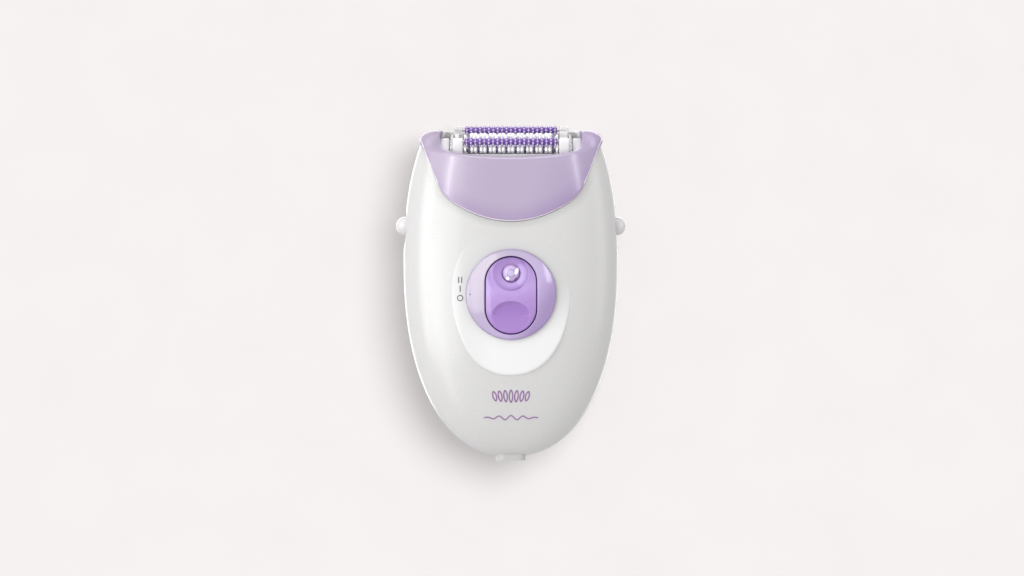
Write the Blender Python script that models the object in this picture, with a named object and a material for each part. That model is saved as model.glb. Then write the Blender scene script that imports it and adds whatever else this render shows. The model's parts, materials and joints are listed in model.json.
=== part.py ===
"""Corded hand-held epilator with a lift-off tweezer head and a clip-on pair of massage rollers.

Frame: +Z runs from the cord socket up to the tweezer head, the switch faces -Y (the front), and +X
is the right when the switch is seen from the front. The origin is the centre of the socket's open end.
All sizes are in millimetres, and meshes are stored in metres. A (y, z) pair is the line of an axis
along X, and an (x, z) pair that of an axis along Y.
"""
import math

import bmesh
import bpy

MM = 0.001
MERGE = 0.0005         # vertices closer than this become one
SIDES = ((-1, "left"), (1, "right"))

# ---------------------------------------------------------------- driving dimensions
HALF_W = 37.1          # body half width at its widest
HALF_H = 67.1          # body half height of the full egg outline, most of it below the head
Z_MID = 68.4           # height of the widest section
FRONT_POWER = 2.25     # exponent of the front outline
FRONT_D = 16.2         # depth of the front face at the middle
REAR_D = 20.9          # depth of the back before its rest flat
REAR_FLAT = 19.75      # rest flat on the back
REAR_TAPER = 3.2       # how much the back draws in towards the top
DEPTH_POWER = 2.4      # exponent of the depth outline
SECTION_POWER = 2.5    # exponent of the horizontal sections
WALL = 1.8             # casing wall
HEAD_GAP = 0.5         # clearance between the casing and the head
SEAM = 0.3             # clearance at the parting plane of the two shells
FIT = 0.3              # clearance round a part that sits in a hole
COLS = 27              # columns of each half shell

SHIELD_LOW = 82.1      # lowest point of the coloured head cover
SHIELD_BOWL = 0.0163   # its edge starts as a parabola
SHIELD_STEEP = 1.7     # and climbs this much faster past SHIELD_KNEE
SHIELD_KNEE = 23.7
REAR_EDGE = 99.0       # edge of the head's back cover at the middle

TILT = math.radians(17.2)   # the working opening leans forward
BARREL = (0.5, 107.3)       # axes along X, as (y, z)
IDLER = (0.5, 93.6)
FIRST_GEAR = (3.58, 81.07)
MOTOR = (2.7, 69.0)
AXLE_R, AXLE_HOLE_R = 1.0, 1.3
BUTTON = (0, 80.8)
BUTTON_R = 3.2

CHASSIS_SCREWS = [(-24.5, 62.0), (24.5, 62.0), (-24.5, 88.0), (24.5, 88.0)]  # (x, z)
CHASSIS_SEAT = -6.5                                                          # y under the heads
BOARD_SCREWS = [(-15.4, 33.0), (15.4, 33.0)]
BOARD_SEAT = -8.9
SCREW_HOLE_INSET = 2.2      # depth under the front face where the screw holes start

for old_object in list(bpy.data.objects):
    bpy.data.objects.remove(old_object, do_unlink=True)


# ---------------------------------------------------------------- materials
def material(name, colour, roughness, metallic=0.0, alpha=1.0):
    mat = bpy.data.materials.new(name)
    mat.use_nodes = True
    inputs = mat.node_tree.nodes["Principled BSDF"].inputs
    inputs["Base Color"].default_value = (*colour, 1.0)
    inputs["Roughness"].default_value = roughness
    inputs["Metallic"].default_value = metallic
    inputs["Alpha"].default_value = alpha
    mat.diffuse_color = (*colour, alpha)
    return mat


PEARL = material("pearl_white", colour=(0.82, 0.82, 0.81), roughness=0.28)
GLOSS = material("gloss_white", colour=(0.90, 0.90, 0.89), roughness=0.12)
WHITE = material("inner_white", colour=(0.86, 0.86, 0.85), roughness=0.4)
LILAC = material("lilac", colour=(0.55, 0.45, 0.68), roughness=0.3)
KNOB_LILAC = material("knob_lilac", colour=(0.62, 0.50, 0.78), roughness=0.15)
PURPLE = material("purple_tint", colour=(0.42, 0.26, 0.68), roughness=0.12)
ROLLER_PURPLE = material("roller_purple", colour=(0.30, 0.17, 0.55), roughness=0.35)
CLEAR = material("clear_plastic", colour=(0.90, 0.91, 0.92), roughness=0.08, alpha=0.45)
STEEL = material("steel", colour=(0.62, 0.62, 0.63), roughness=0.28, metallic=1.0)
BRASS = material("brass", colour=(0.75, 0.58, 0.28), roughness=0.3, metallic=1.0)
ACETAL = material("acetal_gear", colour=(0.80, 0.79, 0.74), roughness=0.45)
BOARD_GREEN = material("board_green", colour=(0.05, 0.22, 0.12), roughness=0.5)
DARK = material("dark_plastic", colour=(0.05, 0.05, 0.055), roughness=0.5)
RED = material("red_wire", colour=(0.55, 0.04, 0.04), roughness=0.5)
BLACK = material("black_wire", colour=(0.03, 0.03, 0.03), roughness=0.5)
GREY = material("chassis_grey", colour=(0.50, 0.50, 0.52), roughness=0.5)


# ---------------------------------------------------------------- objects
def add_object(mesh):
    """Cleans a mesh and puts it in the scene, still without a name or material."""
    bm = bmesh.new()
    bm.from_mesh(mesh)
    bmesh.ops.remove_doubles(bm, verts=bm.verts, dist=MERGE * MM)
    bmesh.ops.dissolve_degenerate(bm, edges=bm.edges, dist=MERGE * MM)
    bmesh.ops.recalc_face_normals(bm, faces=bm.faces)
    bm.to_mesh(mesh)
    bm.free()
    ob = bpy.data.objects.new("solid", mesh)
    bpy.context.scene.collection.objects.link(ob)
    return ob


def solid(verts, faces):
    mesh = bpy.data.meshes.new("solid")
    mesh.from_pydata([(x * MM, y * MM, z * MM) for x, y, z in verts], [], faces)
    return add_object(mesh)


def evaluated_mesh(ob):
    depsgraph = bpy.context.evaluated_depsgraph_get()
    return bpy.data.meshes.new_from_object(ob.evaluated_get(depsgraph))


def boolean(ob, tool, operation):
    mod = ob.modifiers.new("boolean", "BOOLEAN")
    mod.operation = operation
    mod.solver = "EXACT"
    mod.object = tool
    mesh = evaluated_mesh(ob)
    ob.modifiers.clear()
    ob.data = mesh
    for face in mesh.polygons:
        face.material_index = 0
    bpy.data.objects.remove(tool, do_unlink=True)


def cut(ob, tool):
    boolean(ob, tool, "DIFFERENCE")


def join(ob, other):
    boolean(ob, other, "UNION")


def label(name, ob, mat):
    ob.name = ob.data.name = name
    ob.data.materials.clear()
    ob.data.materials.append(mat)
    ob.data.shade_smooth()


def piece(name, ob, mat, origin, sharp=35.0):
    """Finishes a piece: its origin goes to its axis or natural centre, and edges over sharp stay crisp."""
    origin = [c * MM for c in origin]
    for vert in ob.data.vertices:
        for i in range(3):
            vert.co[i] -= origin[i]
    ob.location = origin
    label(name, ob, mat)
    ob.data.set_sharp_from_angle(angle=math.radians(sharp))


# ---------------------------------------------------------------- solids
def loft_faces(ring_count, size, closed=False, capped=False, skipped=()):
    """Faces joining rings of size vertices. skipped holds the places round the ring left open."""
    faces = []
    if capped:
        end = ring_count * size
        faces += [tuple(range(size)), tuple(range(end - 1, end - size - 1, -1))]
    for k in range(ring_count if closed else ring_count - 1):
        this, following = k * size, (k + 1) % ring_count * size
        for i in range(size):
            j = (i + 1) % size
            if i not in skipped:
                faces.append((this + i, this + j, following + j, following + i))
    return faces


def loft(rings, **options):
    return solid([point for ring in rings for point in ring],
                 loft_faces(len(rings), len(rings[0]), **options))


def place(axis, a, b, along):
    """Point at along on the axis, with a and b its two other coordinates in X, Y, Z order."""
    return {"x": (along, a, b), "y": (a, along, b), "z": (a, b, along)}[axis]


def polar(centre, radius, angle):
    return centre[0] + radius * math.cos(angle), centre[1] + radius * math.sin(angle)


def circle(centre, radius, sides, phase=0.0):
    return [polar(centre, radius, phase + 2 * math.pi * i / sides) for i in range(sides)]


def prism(axis, outline, start, end):
    return loft([[place(axis, a, b, t) for a, b in outline] for t in (start, end)], capped=True)


def disc(axis, centre, radius, start, end, sides=20, phase=0.0):
    return prism(axis, circle(centre, radius, sides, phase), start, end)


def box(x_span, y_span, z_span):
    (x0, x1), (y0, y1) = x_span, y_span
    return prism("z", [(x0, y0), (x1, y0), (x1, y1), (x0, y1)], *z_span)


def turned(axis, profile, centre, sides=20, phase=0.0):
    """A closed profile of (place along the axis, radius), turned about the axis through centre."""
    rings = []
    for k in range(sides):
        angle = phase + 2 * math.pi * k / sides
        rings.append([place(axis, *polar(centre, r, angle), t) for t, r in profile])
    on_axis = {i for i, (_, r) in enumerate(profile)
               if max(r, profile[(i + 1) % len(profile)][1]) <= 1e-6}
    return loft(rings, closed=True, skipped=on_axis)


def swept(sections):
    """Closed walls from sections of (outer points, inner points), the same number in each."""
    verts = [p for outer, inner in sections for p in outer + inner[::-1]]
    size = 2 * len(sections[0][0])
    faces = loft_faces(len(sections), size)
    for base, flip in ((0, True), ((len(sections) - 1) * size, False)):
        for i in range(size // 2 - 1):
            quad = (base + i, base + i + 1, base + size - 2 - i, base + size - 1 - i)
            faces.append(quad[::-1] if flip else quad)
    return solid(verts, faces)


def bore(ob, centre, start=-30, end=30, radius=AXLE_HOLE_R, sides=12):
    """Cuts a round hole along X."""
    cut(ob, disc("x", centre, radius, start, end, sides))


def span(side, near, far):
    """The X range between two distances from the middle, on one side."""
    return sorted((side * near, side * far))


# ---------------------------------------------------------------- the body's outer form
def signed_power(value, power):
    return math.copysign(abs(value) ** power, value)


def smooth01(t):
    t = max(0.0, min(1.0, t))
    return t * t * (3 - 2 * t)


def blend(a, b, t):
    return a + (b - a) * t


def arch(z, half, height, power):
    t = min(1.0, abs((z - Z_MID) / height))
    return half * max(0.0, 1.0 - t ** power) ** (1.0 / power)


def half_width(z, inset=0.0):
    return arch(z, HALF_W - inset, HALF_H - inset, FRONT_POWER)


def front_depth(z, inset=0.0):
    return arch(z, FRONT_D - inset, HALF_H - inset, DEPTH_POWER)


def rear_depth(z, inset=0.0):
    depth = arch(z, REAR_D - inset, HALF_H - inset, DEPTH_POWER)
    return max(0.0, depth - REAR_TAPER * smooth01((z - 78.0) / 34.0))


def shares(phi):
    """Shares of the half width and depth on the column phi. phi 0 is +X, 90 the front, 270 the back."""
    angle = math.radians(phi)
    power = 2 / SECTION_POWER
    return signed_power(math.cos(angle), power), signed_power(math.sin(angle), power)


def is_front(depth_share):
    return depth_share >= -1e-9


def skin(phi, z, inset=0.0):
    """Point on the casing's surface, or inset from it."""
    c, s = shares(phi)
    if abs(s) < 1e-9:
        s = 0.0
    if s >= 0:
        y = -front_depth(z, inset) * s
    else:
        y = min(rear_depth(z, inset) * -s, REAR_FLAT - inset)
    return half_width(z, inset) * c, y, z


def section_share(x, half):
    return max(0.0, 1 - min(1.0, abs(x) / half) ** SECTION_POWER) ** (1 / SECTION_POWER)


def front_y(x, z, inset=0.0):
    return -front_depth(z, inset) * section_share(x, half_width(z, inset))


def edge_front(x):
    x = abs(x)
    return SHIELD_LOW + SHIELD_BOWL * x * x + SHIELD_STEEP * math.log1p(math.exp(x - SHIELD_KNEE))


def meet(edge, share):
    """Height where an edge(x) crosses the column at this share of the half width."""
    z = 100.0
    for _ in range(80):
        z = 0.5 * z + 0.5 * edge(half_width(z) * share)
    return z


SIDE_EDGE_Z = meet(edge_front, 1.0)
SIDE_EDGE_W = half_width(SIDE_EDGE_Z)


def edge_rear(x):
    return REAR_EDGE + (SIDE_EDGE_Z - REAR_EDGE) * (abs(x) / SIDE_EDGE_W) ** 3


def edge_z(phi):
    """Height of the seam between the casing and the head on the column phi."""
    c, s = shares(phi)
    return meet(edge_front if is_front(s) else edge_rear, abs(c))


def stations(z_top, inset):
    """Heights from the bottom tip to z_top, closer together at the tip."""
    low = [Z_MID - (HALF_H - inset) * math.sin(math.radians(90 * (1 - i / 8))) ** (2 / FRONT_POWER)
           for i in range(9)]
    return low + [Z_MID + (z_top - Z_MID) * i / 5 for i in range(1, 6)]


def columns(first, last):
    return [180.0 * k / COLS for k in range(first, last + 1)]


# ---------------------------------------------------------------- outlines shared by parts and holes
PLATE_SIDES = 40       # points round the panel, knob and insert

INLAY_Z, INLAY_A, INLAY_LOW, INLAY_UP = 58.7, 20.2, 29.3, 20.6  # centre, half width, reach each way
INLAY_POWER = 2.2
SOCKET_A, SOCKET_B, SOCKET_CORNER = 5.15, 3.9, 2.6              # half width, half depth, corner radius


def inlay_edge(angle, grow=0.0):
    c, s = math.cos(angle), math.sin(angle)
    reach = INLAY_UP if s > 0 else INLAY_LOW
    return ((INLAY_A + grow) * signed_power(c, 2 / INLAY_POWER),
            INLAY_Z + (reach + grow) * signed_power(s, 2 / INLAY_POWER))


def plate_outline(edge, *options):
    return [edge(2 * math.pi * i / PLATE_SIDES, *options) for i in range(PLATE_SIDES)]


def socket_outline(grow=0.0):
    radius = SOCKET_CORNER + grow
    points = []
    for sx, sy, start in ((1, 1, 0), (-1, 1, 90), (-1, -1, 180), (1, -1, 270)):
        corner = (sx * (SOCKET_A - SOCKET_CORNER), sy * (SOCKET_B - SOCKET_CORNER))
        points += [polar(corner, radius, math.radians(start + 90 * i / 4)) for i in range(5)]
    return points


# ---------------------------------------------------------------- casing shells
DISH_R, DISH_DEPTH = 20.0, 1.5          # spherical finger dish round each release button
GUIDE_X = (28.0, 29.0)                  # walls that carry the button stems
GUIDE_Y, GUIDE_Z = (-4.2, 13.4), (76.4, 85.2)
GUIDE_HOLE_R = 1.9


def casing_section(phi, seam=0.0):
    """The wall on the column phi. A seam moves the parting plane back, and leaves the rest flat."""
    def shifted(phi, z, inset):
        x, y, z = skin(phi, z, inset)
        return x, seam + y * (1 - seam / REAR_FLAT), z
    top = edge_z(phi) - HEAD_GAP
    outer, inner = ([shifted(phi, z, inset) for z in stations(top, inset)] for inset in (0.0, WALL))
    return outer, inner


def dish_cutter(side):
    centre_x = half_width(BUTTON[1]) + DISH_R - DISH_DEPTH
    profile = [(side * (centre_x - DISH_R * math.cos(math.radians(a))),
                DISH_R * math.sin(math.radians(a))) for a in range(0, 31, 6)]
    outside = side * (centre_x + 2)
    profile += [(outside, profile[-1][1]), (outside, 0.0)]
    return turned("x", profile, BUTTON, 24, phase=0.05)


def add_boss(shell, x, z, radius, end_y, sides, hole_r, hole_end):
    """Joins a round screw post that starts inside the front wall and ends on a flat at end_y."""
    points = circle((x, z), radius, sides, 0.1)
    root = [(a, front_y(a, b, WALL / 2), b) for a, b in points]
    join(shell, loft([root, [(a, end_y, b) for a, b in points]], capped=True))
    cut(shell, disc("y", (x, z), hole_r, front_y(x, z, SCREW_HOLE_INSET), hole_end, sides=10))


front_shell = swept([casing_section(phi) for phi in columns(0, COLS)])
rear_shell = swept([casing_section(phi, SEAM) for phi in columns(COLS, 2 * COLS)])
cut(front_shell, prism("y", plate_outline(inlay_edge, FIT), -30, -6))
for shell in (front_shell, rear_shell):
    for side, _ in SIDES:
        cut(shell, disc("x", BUTTON, BUTTON_R + FIT, side * 30.0, side * 45.0, 24, phase=0.07))
        cut(shell, dish_cutter(side))
    cut(shell, prism("z", socket_outline(FIT), -5, 20))

for x, z in CHASSIS_SCREWS:
    add_boss(front_shell, x, z, radius=2.5, end_y=-8.5, sides=14, hole_r=1.25, hole_end=-8.0)
for x, z in BOARD_SCREWS:
    add_boss(front_shell, x, z, radius=2.1, end_y=-10.8, sides=12, hole_r=1.1, hole_end=-10.0)
piece("front_shell", front_shell, PEARL, (0, 0, Z_MID))

for side, _ in SIDES:
    join(rear_shell, box(span(side, *GUIDE_X), GUIDE_Y, GUIDE_Z))
    bore(rear_shell, BUTTON, side * 26.0, side * 31.0, GUIDE_HOLE_R)
piece("rear_shell", rear_shell, PEARL, (0, 0, Z_MID))

# ---------------------------------------------------------------- glossy panel round the switch
INLAY_PROUD = 0.2      # how far the panel's upper part stands out of the casing
INLAY_SWELL = 0.6      # extra towards its lower end
INLAY_BEVEL = 0.35     # how far its rim drops back
SLOT_X, SLOT_Z = (-3.2, 3.2), (49.0, 70.2)


def polar_plate(edge, centre_z, rings, outer_y, inner_y, inner_rings):
    """A plate bounded by edge(angle). Its faces are heights over (x, z, share of the way out)."""
    rim = plate_outline(edge)
    loops = []
    for shares_out, face_y in ((rings, outer_y), (inner_rings, inner_y)):
        for rho in shares_out:
            points = [(rho * x, centre_z + rho * (z - centre_z)) for x, z in rim]
            loops.append([(x, face_y(x, z, rho), z) for x, z in points])
    return loft(loops)


def inlay_top(x, z, rho):
    lift = INLAY_PROUD + INLAY_SWELL * smooth01((62.0 - z) / 30.0)
    return front_y(x, z) - lift + (INLAY_BEVEL if rho > 0.99 else 0.0)


front_inlay = polar_plate(
    inlay_edge, INLAY_Z, rings=(0.0, 0.4, 0.7, 0.9, 0.985, 1.0), outer_y=inlay_top,
    inner_y=lambda x, z, rho: front_y(x, z, WALL), inner_rings=(1.0, 0.55, 0.0))
cut(front_inlay, box(SLOT_X, (-25, -5), SLOT_Z))
piece("front_inlay", front_inlay, GLOSS, (0, -FRONT_D, INLAY_Z))

# ---------------------------------------------------------------- sliding switch
KNOB_Z, KNOB_R = 57.2, 15.5
KNOB_CLEARANCE = 0.4                    # between the knob and the panel
KNOB_RIM, KNOB_DOME = 0.5, 2.7          # thickness at the rim, and the dome's height over it
INSERT_Z, INSERT_A, INSERT_B = 56.9, 8.75, 13.2   # centre, half width, half height
INSERT_SUNK, INSERT_MIN = 0.25, 0.7     # top below the dome, and least thickness
THUMB_Z, THUMB_A, THUMB_UP, THUMB_LOW = 50.1, 6.7, 4.8, 7.0   # thumb hollow
LENS = (0, 64.4)
LENS_R = 3.1
CONE_R = 6.1                            # conical hollow round the lens
HOLLOW = 1.1                            # depth of both hollows
STEM_X, STEM_Y, STEM_Z = (-2.3, 2.3), (-17.4, -13.9), (50.0, 54.5)


def knob_edge(angle):
    return polar((0.0, KNOB_Z), KNOB_R, angle)


def knob_under(x, z=0.0, rho=0.0):
    """Underside of the knob, the same at every height."""
    return -(INLAY_PROUD + KNOB_CLEARANCE) - FRONT_D * section_share(x, HALF_W)


def knob_top(x, z, rho=0.0):
    out = min(1.0, math.hypot(x, z - KNOB_Z) / KNOB_R)
    return knob_under(x) - KNOB_RIM - KNOB_DOME * (1 - out ** 2.4)


def stadium(angle, grow=0.0):
    """Point of the insert's stadium outline in a direction from its centre."""
    c, s = math.cos(angle), math.sin(angle)
    radius, straight = INSERT_A + grow, INSERT_B - INSERT_A
    reach = radius / abs(c) if abs(c) > 1e-9 else 1e9
    if abs(reach * s) > straight:
        k = abs(s) * straight
        reach = k + math.sqrt(max(0.0, k * k - straight * straight + radius * radius))
    return reach * c, INSERT_Z + reach * s


def insert_top(x, z, rho):
    y = knob_top(x, z) + INSERT_SUNK
    thumb = math.hypot(x / THUMB_A, (z - THUMB_Z) / (THUMB_UP if z > THUMB_Z else THUMB_LOW))
    y += HOLLOW * smooth01((1 - thumb) / 0.45)
    cone = math.hypot(x, z - LENS[1]) / CONE_R
    if cone < 1:
        y += HOLLOW * (1 - cone)
    return min(y, knob_under(x) - INSERT_MIN)


switch_knob = polar_plate(
    knob_edge, KNOB_Z, rings=(0.0, 0.3, 0.55, 0.75, 0.88, 0.96, 1.0), outer_y=knob_top,
    inner_y=knob_under, inner_rings=(1.0, 0.55, 0.0))
cut(switch_knob, prism("y", plate_outline(stadium, FIT), -30, -5))
piece("switch_knob", switch_knob, KNOB_LILAC, (0, -FRONT_D, KNOB_Z))

switch_insert = polar_plate(
    stadium, INSERT_Z, rings=(0.0, 0.2, 0.4, 0.6, 0.8, 0.95, 1.0), outer_y=insert_top,
    inner_y=knob_under, inner_rings=(1.0, 0.5, 0.0))
cut(switch_insert, disc("y", LENS, LENS_R + FIT, -25, -10, 24))
join(switch_insert, box(STEM_X, STEM_Y, STEM_Z))
piece("switch_insert", switch_insert, PURPLE, (0, -FRONT_D, INSERT_Z))

lens_profile = [(-16.9, 0.0), (-16.9, LENS_R - 0.5), (-17.1, LENS_R)]
lens_profile += [(-17.6 - 1.8 * math.sin(math.radians(a)), LENS_R * math.cos(math.radians(a)))
                 for a in (0, 30, 60, 90)]
piece("light_lens", turned("y", lens_profile, LENS, 24), CLEAR, (0, -17.0, LENS[1]))
piece("switch_contact", box((-1.8, 1.8), (-13.6, -12.5), (50.4, 54.1)), DARK, (0, -13.0, 52.2))

# ---------------------------------------------------------------- release buttons and their springs
BUTTON_X = 36.6                         # where the button's domed end starts
BUTTON_DOME = 3.1
# the button's stem, flange and body, as (distance from the middle, radius)
BUTTON_PROFILE = [(28.9, 0.0), (28.9, 1.5), (33.0, 1.5), (33.0, 4.4), (33.9, 4.4),
                  (33.9, BUTTON_R - 0.1), (36.4, BUTTON_R)]
SPRING_TURNS, SPRING_R, SPRING_WIRE_R = 3.5, 2.7, 0.22
SPRING_START, SPRING_END = 29.35, 32.65  # between the guide wall and the flange
SPRING_STEPS, SPRING_SIDES = 34, 5


def release_button(side):
    dome = [(BUTTON_X + BUTTON_DOME * math.sin(math.radians(a)), BUTTON_R * math.cos(math.radians(a)))
            for a in (12, 30, 50, 70, 90)]
    return turned("x", [(side * x, r) for x, r in BUTTON_PROFILE + dome], BUTTON, 24)


def release_spring(side):
    travel = SPRING_END - SPRING_START - 2 * SPRING_WIRE_R
    rings = []
    for k in range(SPRING_STEPS + 1):
        t = k / SPRING_STEPS
        ring = []
        for q in range(SPRING_SIDES):
            around = 2 * math.pi * q / SPRING_SIDES
            x = SPRING_START + SPRING_WIRE_R + travel * t + SPRING_WIRE_R * math.sin(around)
            radius = SPRING_R + SPRING_WIRE_R * math.cos(around)
            ring.append((side * x, *polar(BUTTON, radius, 2 * math.pi * SPRING_TURNS * t)))
        rings.append(ring)
    return loft(rings, capped=True)


for side, word in SIDES:
    piece("release_button_" + word, release_button(side), PEARL, (side * BUTTON_X, *BUTTON))
    piece("release_spring_" + word, release_spring(side), STEEL, (side * 31.0, *BUTTON))

# ---------------------------------------------------------------- chassis
PLATE_Y = (-8.2, -6.8)
CHEEK_Y, CHEEK_Z = (-7.5, 11.5), (54.0, 95.9)
GEAR_CHEEK_X, FAR_CHEEK_X = (14.4, 16.2), (-19.4, -17.6)
LUG_X, LUG_HALF = (19.0, 27.3), 2.8     # screw lugs
MOTOR_BOSS_HOLE_R, MOTOR_TAIL_HOLE_R = 3.4, 8.5

chassis = box((-20.0, 20.0), PLATE_Y, (52.0, 94.6))
for x, z in CHASSIS_SCREWS:
    join(chassis, box(span(math.copysign(1, x), *LUG_X), PLATE_Y, (z - LUG_HALF, z + LUG_HALF)))
for x_span in (GEAR_CHEEK_X, FAR_CHEEK_X):
    join(chassis, box(x_span, CHEEK_Y, CHEEK_Z))
join(chassis, box((-24.0, 24.0), (PLATE_Y[0], 10.5), (94.4, CHEEK_Z[1])))
for x, z in CHASSIS_SCREWS:
    cut(chassis, disc("y", (x, z), 1.2, -12, -3, 10))
bore(chassis, MOTOR, 10, 20, MOTOR_BOSS_HOLE_R, 16)
bore(chassis, MOTOR, -25, -15, MOTOR_TAIL_HOLE_R, 20)
bore(chassis, IDLER, 10, 20)
bore(chassis, FIRST_GEAR, 10, 20)
cut(chassis, box((16.4, 20.3), (-9.0, 9.6), (88.6, 99.0)))   # gap for the idler
piece("chassis", chassis, GREY, (0, -7.5, 75.0))


# ---------------------------------------------------------------- motor
def motor_outline(radius, flat):
    """A circle about the motor's axis with flats at this distance in front and behind."""
    corner = math.degrees(math.acos(flat / radius))
    return [polar(MOTOR, radius, math.radians(start + (180 - 2 * corner) * i / 8))
            for start in (corner, 180 + corner) for i in range(9)]


def axle(half_len_profile, centre):
    """A turned shaft with chamfered ends, from (start, end) along X."""
    start, end = half_len_profile
    tip_r = AXLE_R - 0.15
    return turned("x", [(start, 0), (start, tip_r), (start + 0.2, AXLE_R), (end - 0.2, AXLE_R),
                        (end, tip_r), (end, 0)], centre, 12)


motor_can = prism("x", motor_outline(12.0, 9.1), -14.5, 13.9)
join(motor_can, disc("x", MOTOR, 3.0, 13.0, 15.9, 16))
bore(motor_can, MOTOR)
piece("motor_can", motor_can, STEEL, (0, *MOTOR))
motor_end_cap = prism("x", motor_outline(11.4, 8.6), -16.9, -14.8)
bore(motor_end_cap, MOTOR)
piece("motor_end_cap", motor_end_cap, DARK, (-15.8, *MOTOR))
motor_shaft = turned("x", [(-17.3, 0), (-17.3, 0.85), (-17.1, AXLE_R), (22.7, AXLE_R),
                           (22.9, 0.85), (22.9, 0)], MOTOR, 12)
piece("motor_shaft", motor_shaft, STEEL, (0, *MOTOR))

# ---------------------------------------------------------------- gears
N_BARREL, N_IDLER, N_SMALL, N_LARGE, N_PINION = 14, 20, 12, 30, 10   # teeth
M_DRIVE, M_MOTOR = 0.8, 0.6             # modules
BACKLASH = 0.16
ADDENDUM, DEDENDUM = 0.8, 1.12          # in modules
PRESSURE_ANGLE = math.radians(20)
DRIVE_X = (16.8, 19.4)                  # the gears in the barrel's plane


def involute(angle):
    return math.tan(angle) - angle


def gear(teeth, module, centre, phase, start, end):
    """Involute gear, each flank given by its root, pitch and tip. phase is one tooth's middle."""
    pitch_r = teeth * module / 2
    base_r = pitch_r * math.cos(PRESSURE_ANGLE)
    tip_r, root_r = pitch_r + ADDENDUM * module, pitch_r - DEDENDUM * module
    pitch_half = math.pi / (2 * teeth) - BACKLASH / (2 * pitch_r)

    def half_angle(radius):
        return (pitch_half + involute(PRESSURE_ANGLE)
                - involute(math.acos(min(1.0, base_r / radius))))

    root_half, tip_half = half_angle(max(root_r, base_r)), half_angle(tip_r)
    tooth = ((root_r, -root_half), (pitch_r, -pitch_half), (tip_r, -tip_half),
             (tip_r, tip_half), (pitch_r, pitch_half), (root_r, root_half))
    outline = [polar(centre, r, phase + 2 * math.pi * k / teeth + a)
               for k in range(teeth) for r, a in tooth]
    return prism("x", outline, start, end)


def mate_phase(teeth, phase, centre, mate_teeth, mate_centre):
    """Phase of the mate so that one of its gaps faces the tooth nearest the line of centres."""
    bearing = math.atan2(mate_centre[1] - centre[1], mate_centre[0] - centre[0])
    pitch = 2 * math.pi / teeth
    offset = (phase - bearing + pitch / 2) % pitch - pitch / 2
    return bearing + math.pi - offset * teeth / mate_teeth + math.pi / mate_teeth


barrel_phase = math.radians(90)
idler_phase = mate_phase(N_BARREL, barrel_phase, BARREL, N_IDLER, IDLER)
small_phase = mate_phase(N_IDLER, idler_phase, IDLER, N_SMALL, FIRST_GEAR)
large_phase = math.radians(5)
pinion_phase = mate_phase(N_LARGE, large_phase, FIRST_GEAR, N_PINION, MOTOR)

gear_first = gear(N_LARGE, M_MOTOR, FIRST_GEAR, large_phase, 20.0, 22.4)
join(gear_first, gear(N_SMALL, M_DRIVE, FIRST_GEAR, small_phase, DRIVE_X[0], 20.6))
for name, ob, centre, mat, origin_x in (
        ("gear_idler", gear(N_IDLER, M_DRIVE, IDLER, idler_phase, *DRIVE_X), IDLER, ACETAL, 18.1),
        ("gear_first", gear_first, FIRST_GEAR, ACETAL, 19.5),
        ("motor_pinion", gear(N_PINION, M_MOTOR, MOTOR, pinion_phase, 20.1, 22.4),
         MOTOR, BRASS, 21.2),
        ("barrel_gear", gear(N_BARREL, M_DRIVE, BARREL, barrel_phase, *DRIVE_X),
         BARREL, ACETAL, 18.1)):
    bore(ob, centre)
    piece(name, ob, mat, (origin_x, *centre))
for name, centre, end, origin_x in (("gear_idler_pin", IDLER, 20.1, 17.2),
                                    ("gear_first_pin", FIRST_GEAR, 23.4, 18.9)):
    pin = disc("x", centre, AXLE_R, GEAR_CHEEK_X[0], end, 12)
    piece(name, pin, STEEL, (origin_x, *centre))

# ---------------------------------------------------------------- circuit board and what it carries
BOARD_Y = (-10.5, -9.2)
BOARD_OUTLINE = [(-17.5, 30), (17.5, 30), (17.5, 36), (14, 39), (14, 73),   # (x, z)
                 (11, 76), (-11, 76), (-14, 73), (-14, 39), (-17.5, 36)]
LAMP = (0, 67.5)
LAMP_PROFILE = [(-10.8, 0), (-10.8, 1.6), (-11.6, 1.6), (-11.6, 1.35),      # (y, radius)
                (-12.9, 1.35), (-13.6, 0.8), (-13.8, 0)]
CAPACITOR = (-6.5, 41.0)
CAPACITOR_PROFILE = [(-5.0, 0), (-5.0, 2.0), (-4.6, 2.3), (4.6, 2.3), (5.0, 2.0), (5.0, 0)]

circuit_board = prism("y", BOARD_OUTLINE, *BOARD_Y)
for screw in BOARD_SCREWS:
    cut(circuit_board, disc("y", screw, 1.1, -12, -8, 10))
piece("circuit_board", circuit_board, BOARD_GREEN, (0, -9.9, 53.0))
piece("switch_module", box((-4.5, 4.5), (-12.2, -10.8), (46.0, 63.5)), DARK, (0, -11.5, 54.8))
piece("lamp", turned("y", LAMP_PROFILE, LAMP, 14), CLEAR, (0, -12.0, LAMP[1]))
piece("capacitor", turned("x", CAPACITOR_PROFILE, CAPACITOR, 14), BLACK, (0, *CAPACITOR))


# ---------------------------------------------------------------- screws
def add_screws(prefix, places, seat, tip_gap, point, shank_r, head_r, top_r, brim, head):
    """Screws along Y. point, brim and head are the lengths of the tip, the head's rim and the head."""
    for i, (x, z) in enumerate(places):
        tip = front_y(x, z, SCREW_HOLE_INSET) + tip_gap
        profile = [(tip, 0), (tip + point, shank_r), (seat, shank_r), (seat, head_r),
                   (seat + brim, head_r), (seat + head, top_r), (seat + head, 0)]
        piece("%s_%d" % (prefix, i + 1), turned("y", profile, (x, z), 12), STEEL, (x, seat, z))


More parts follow.
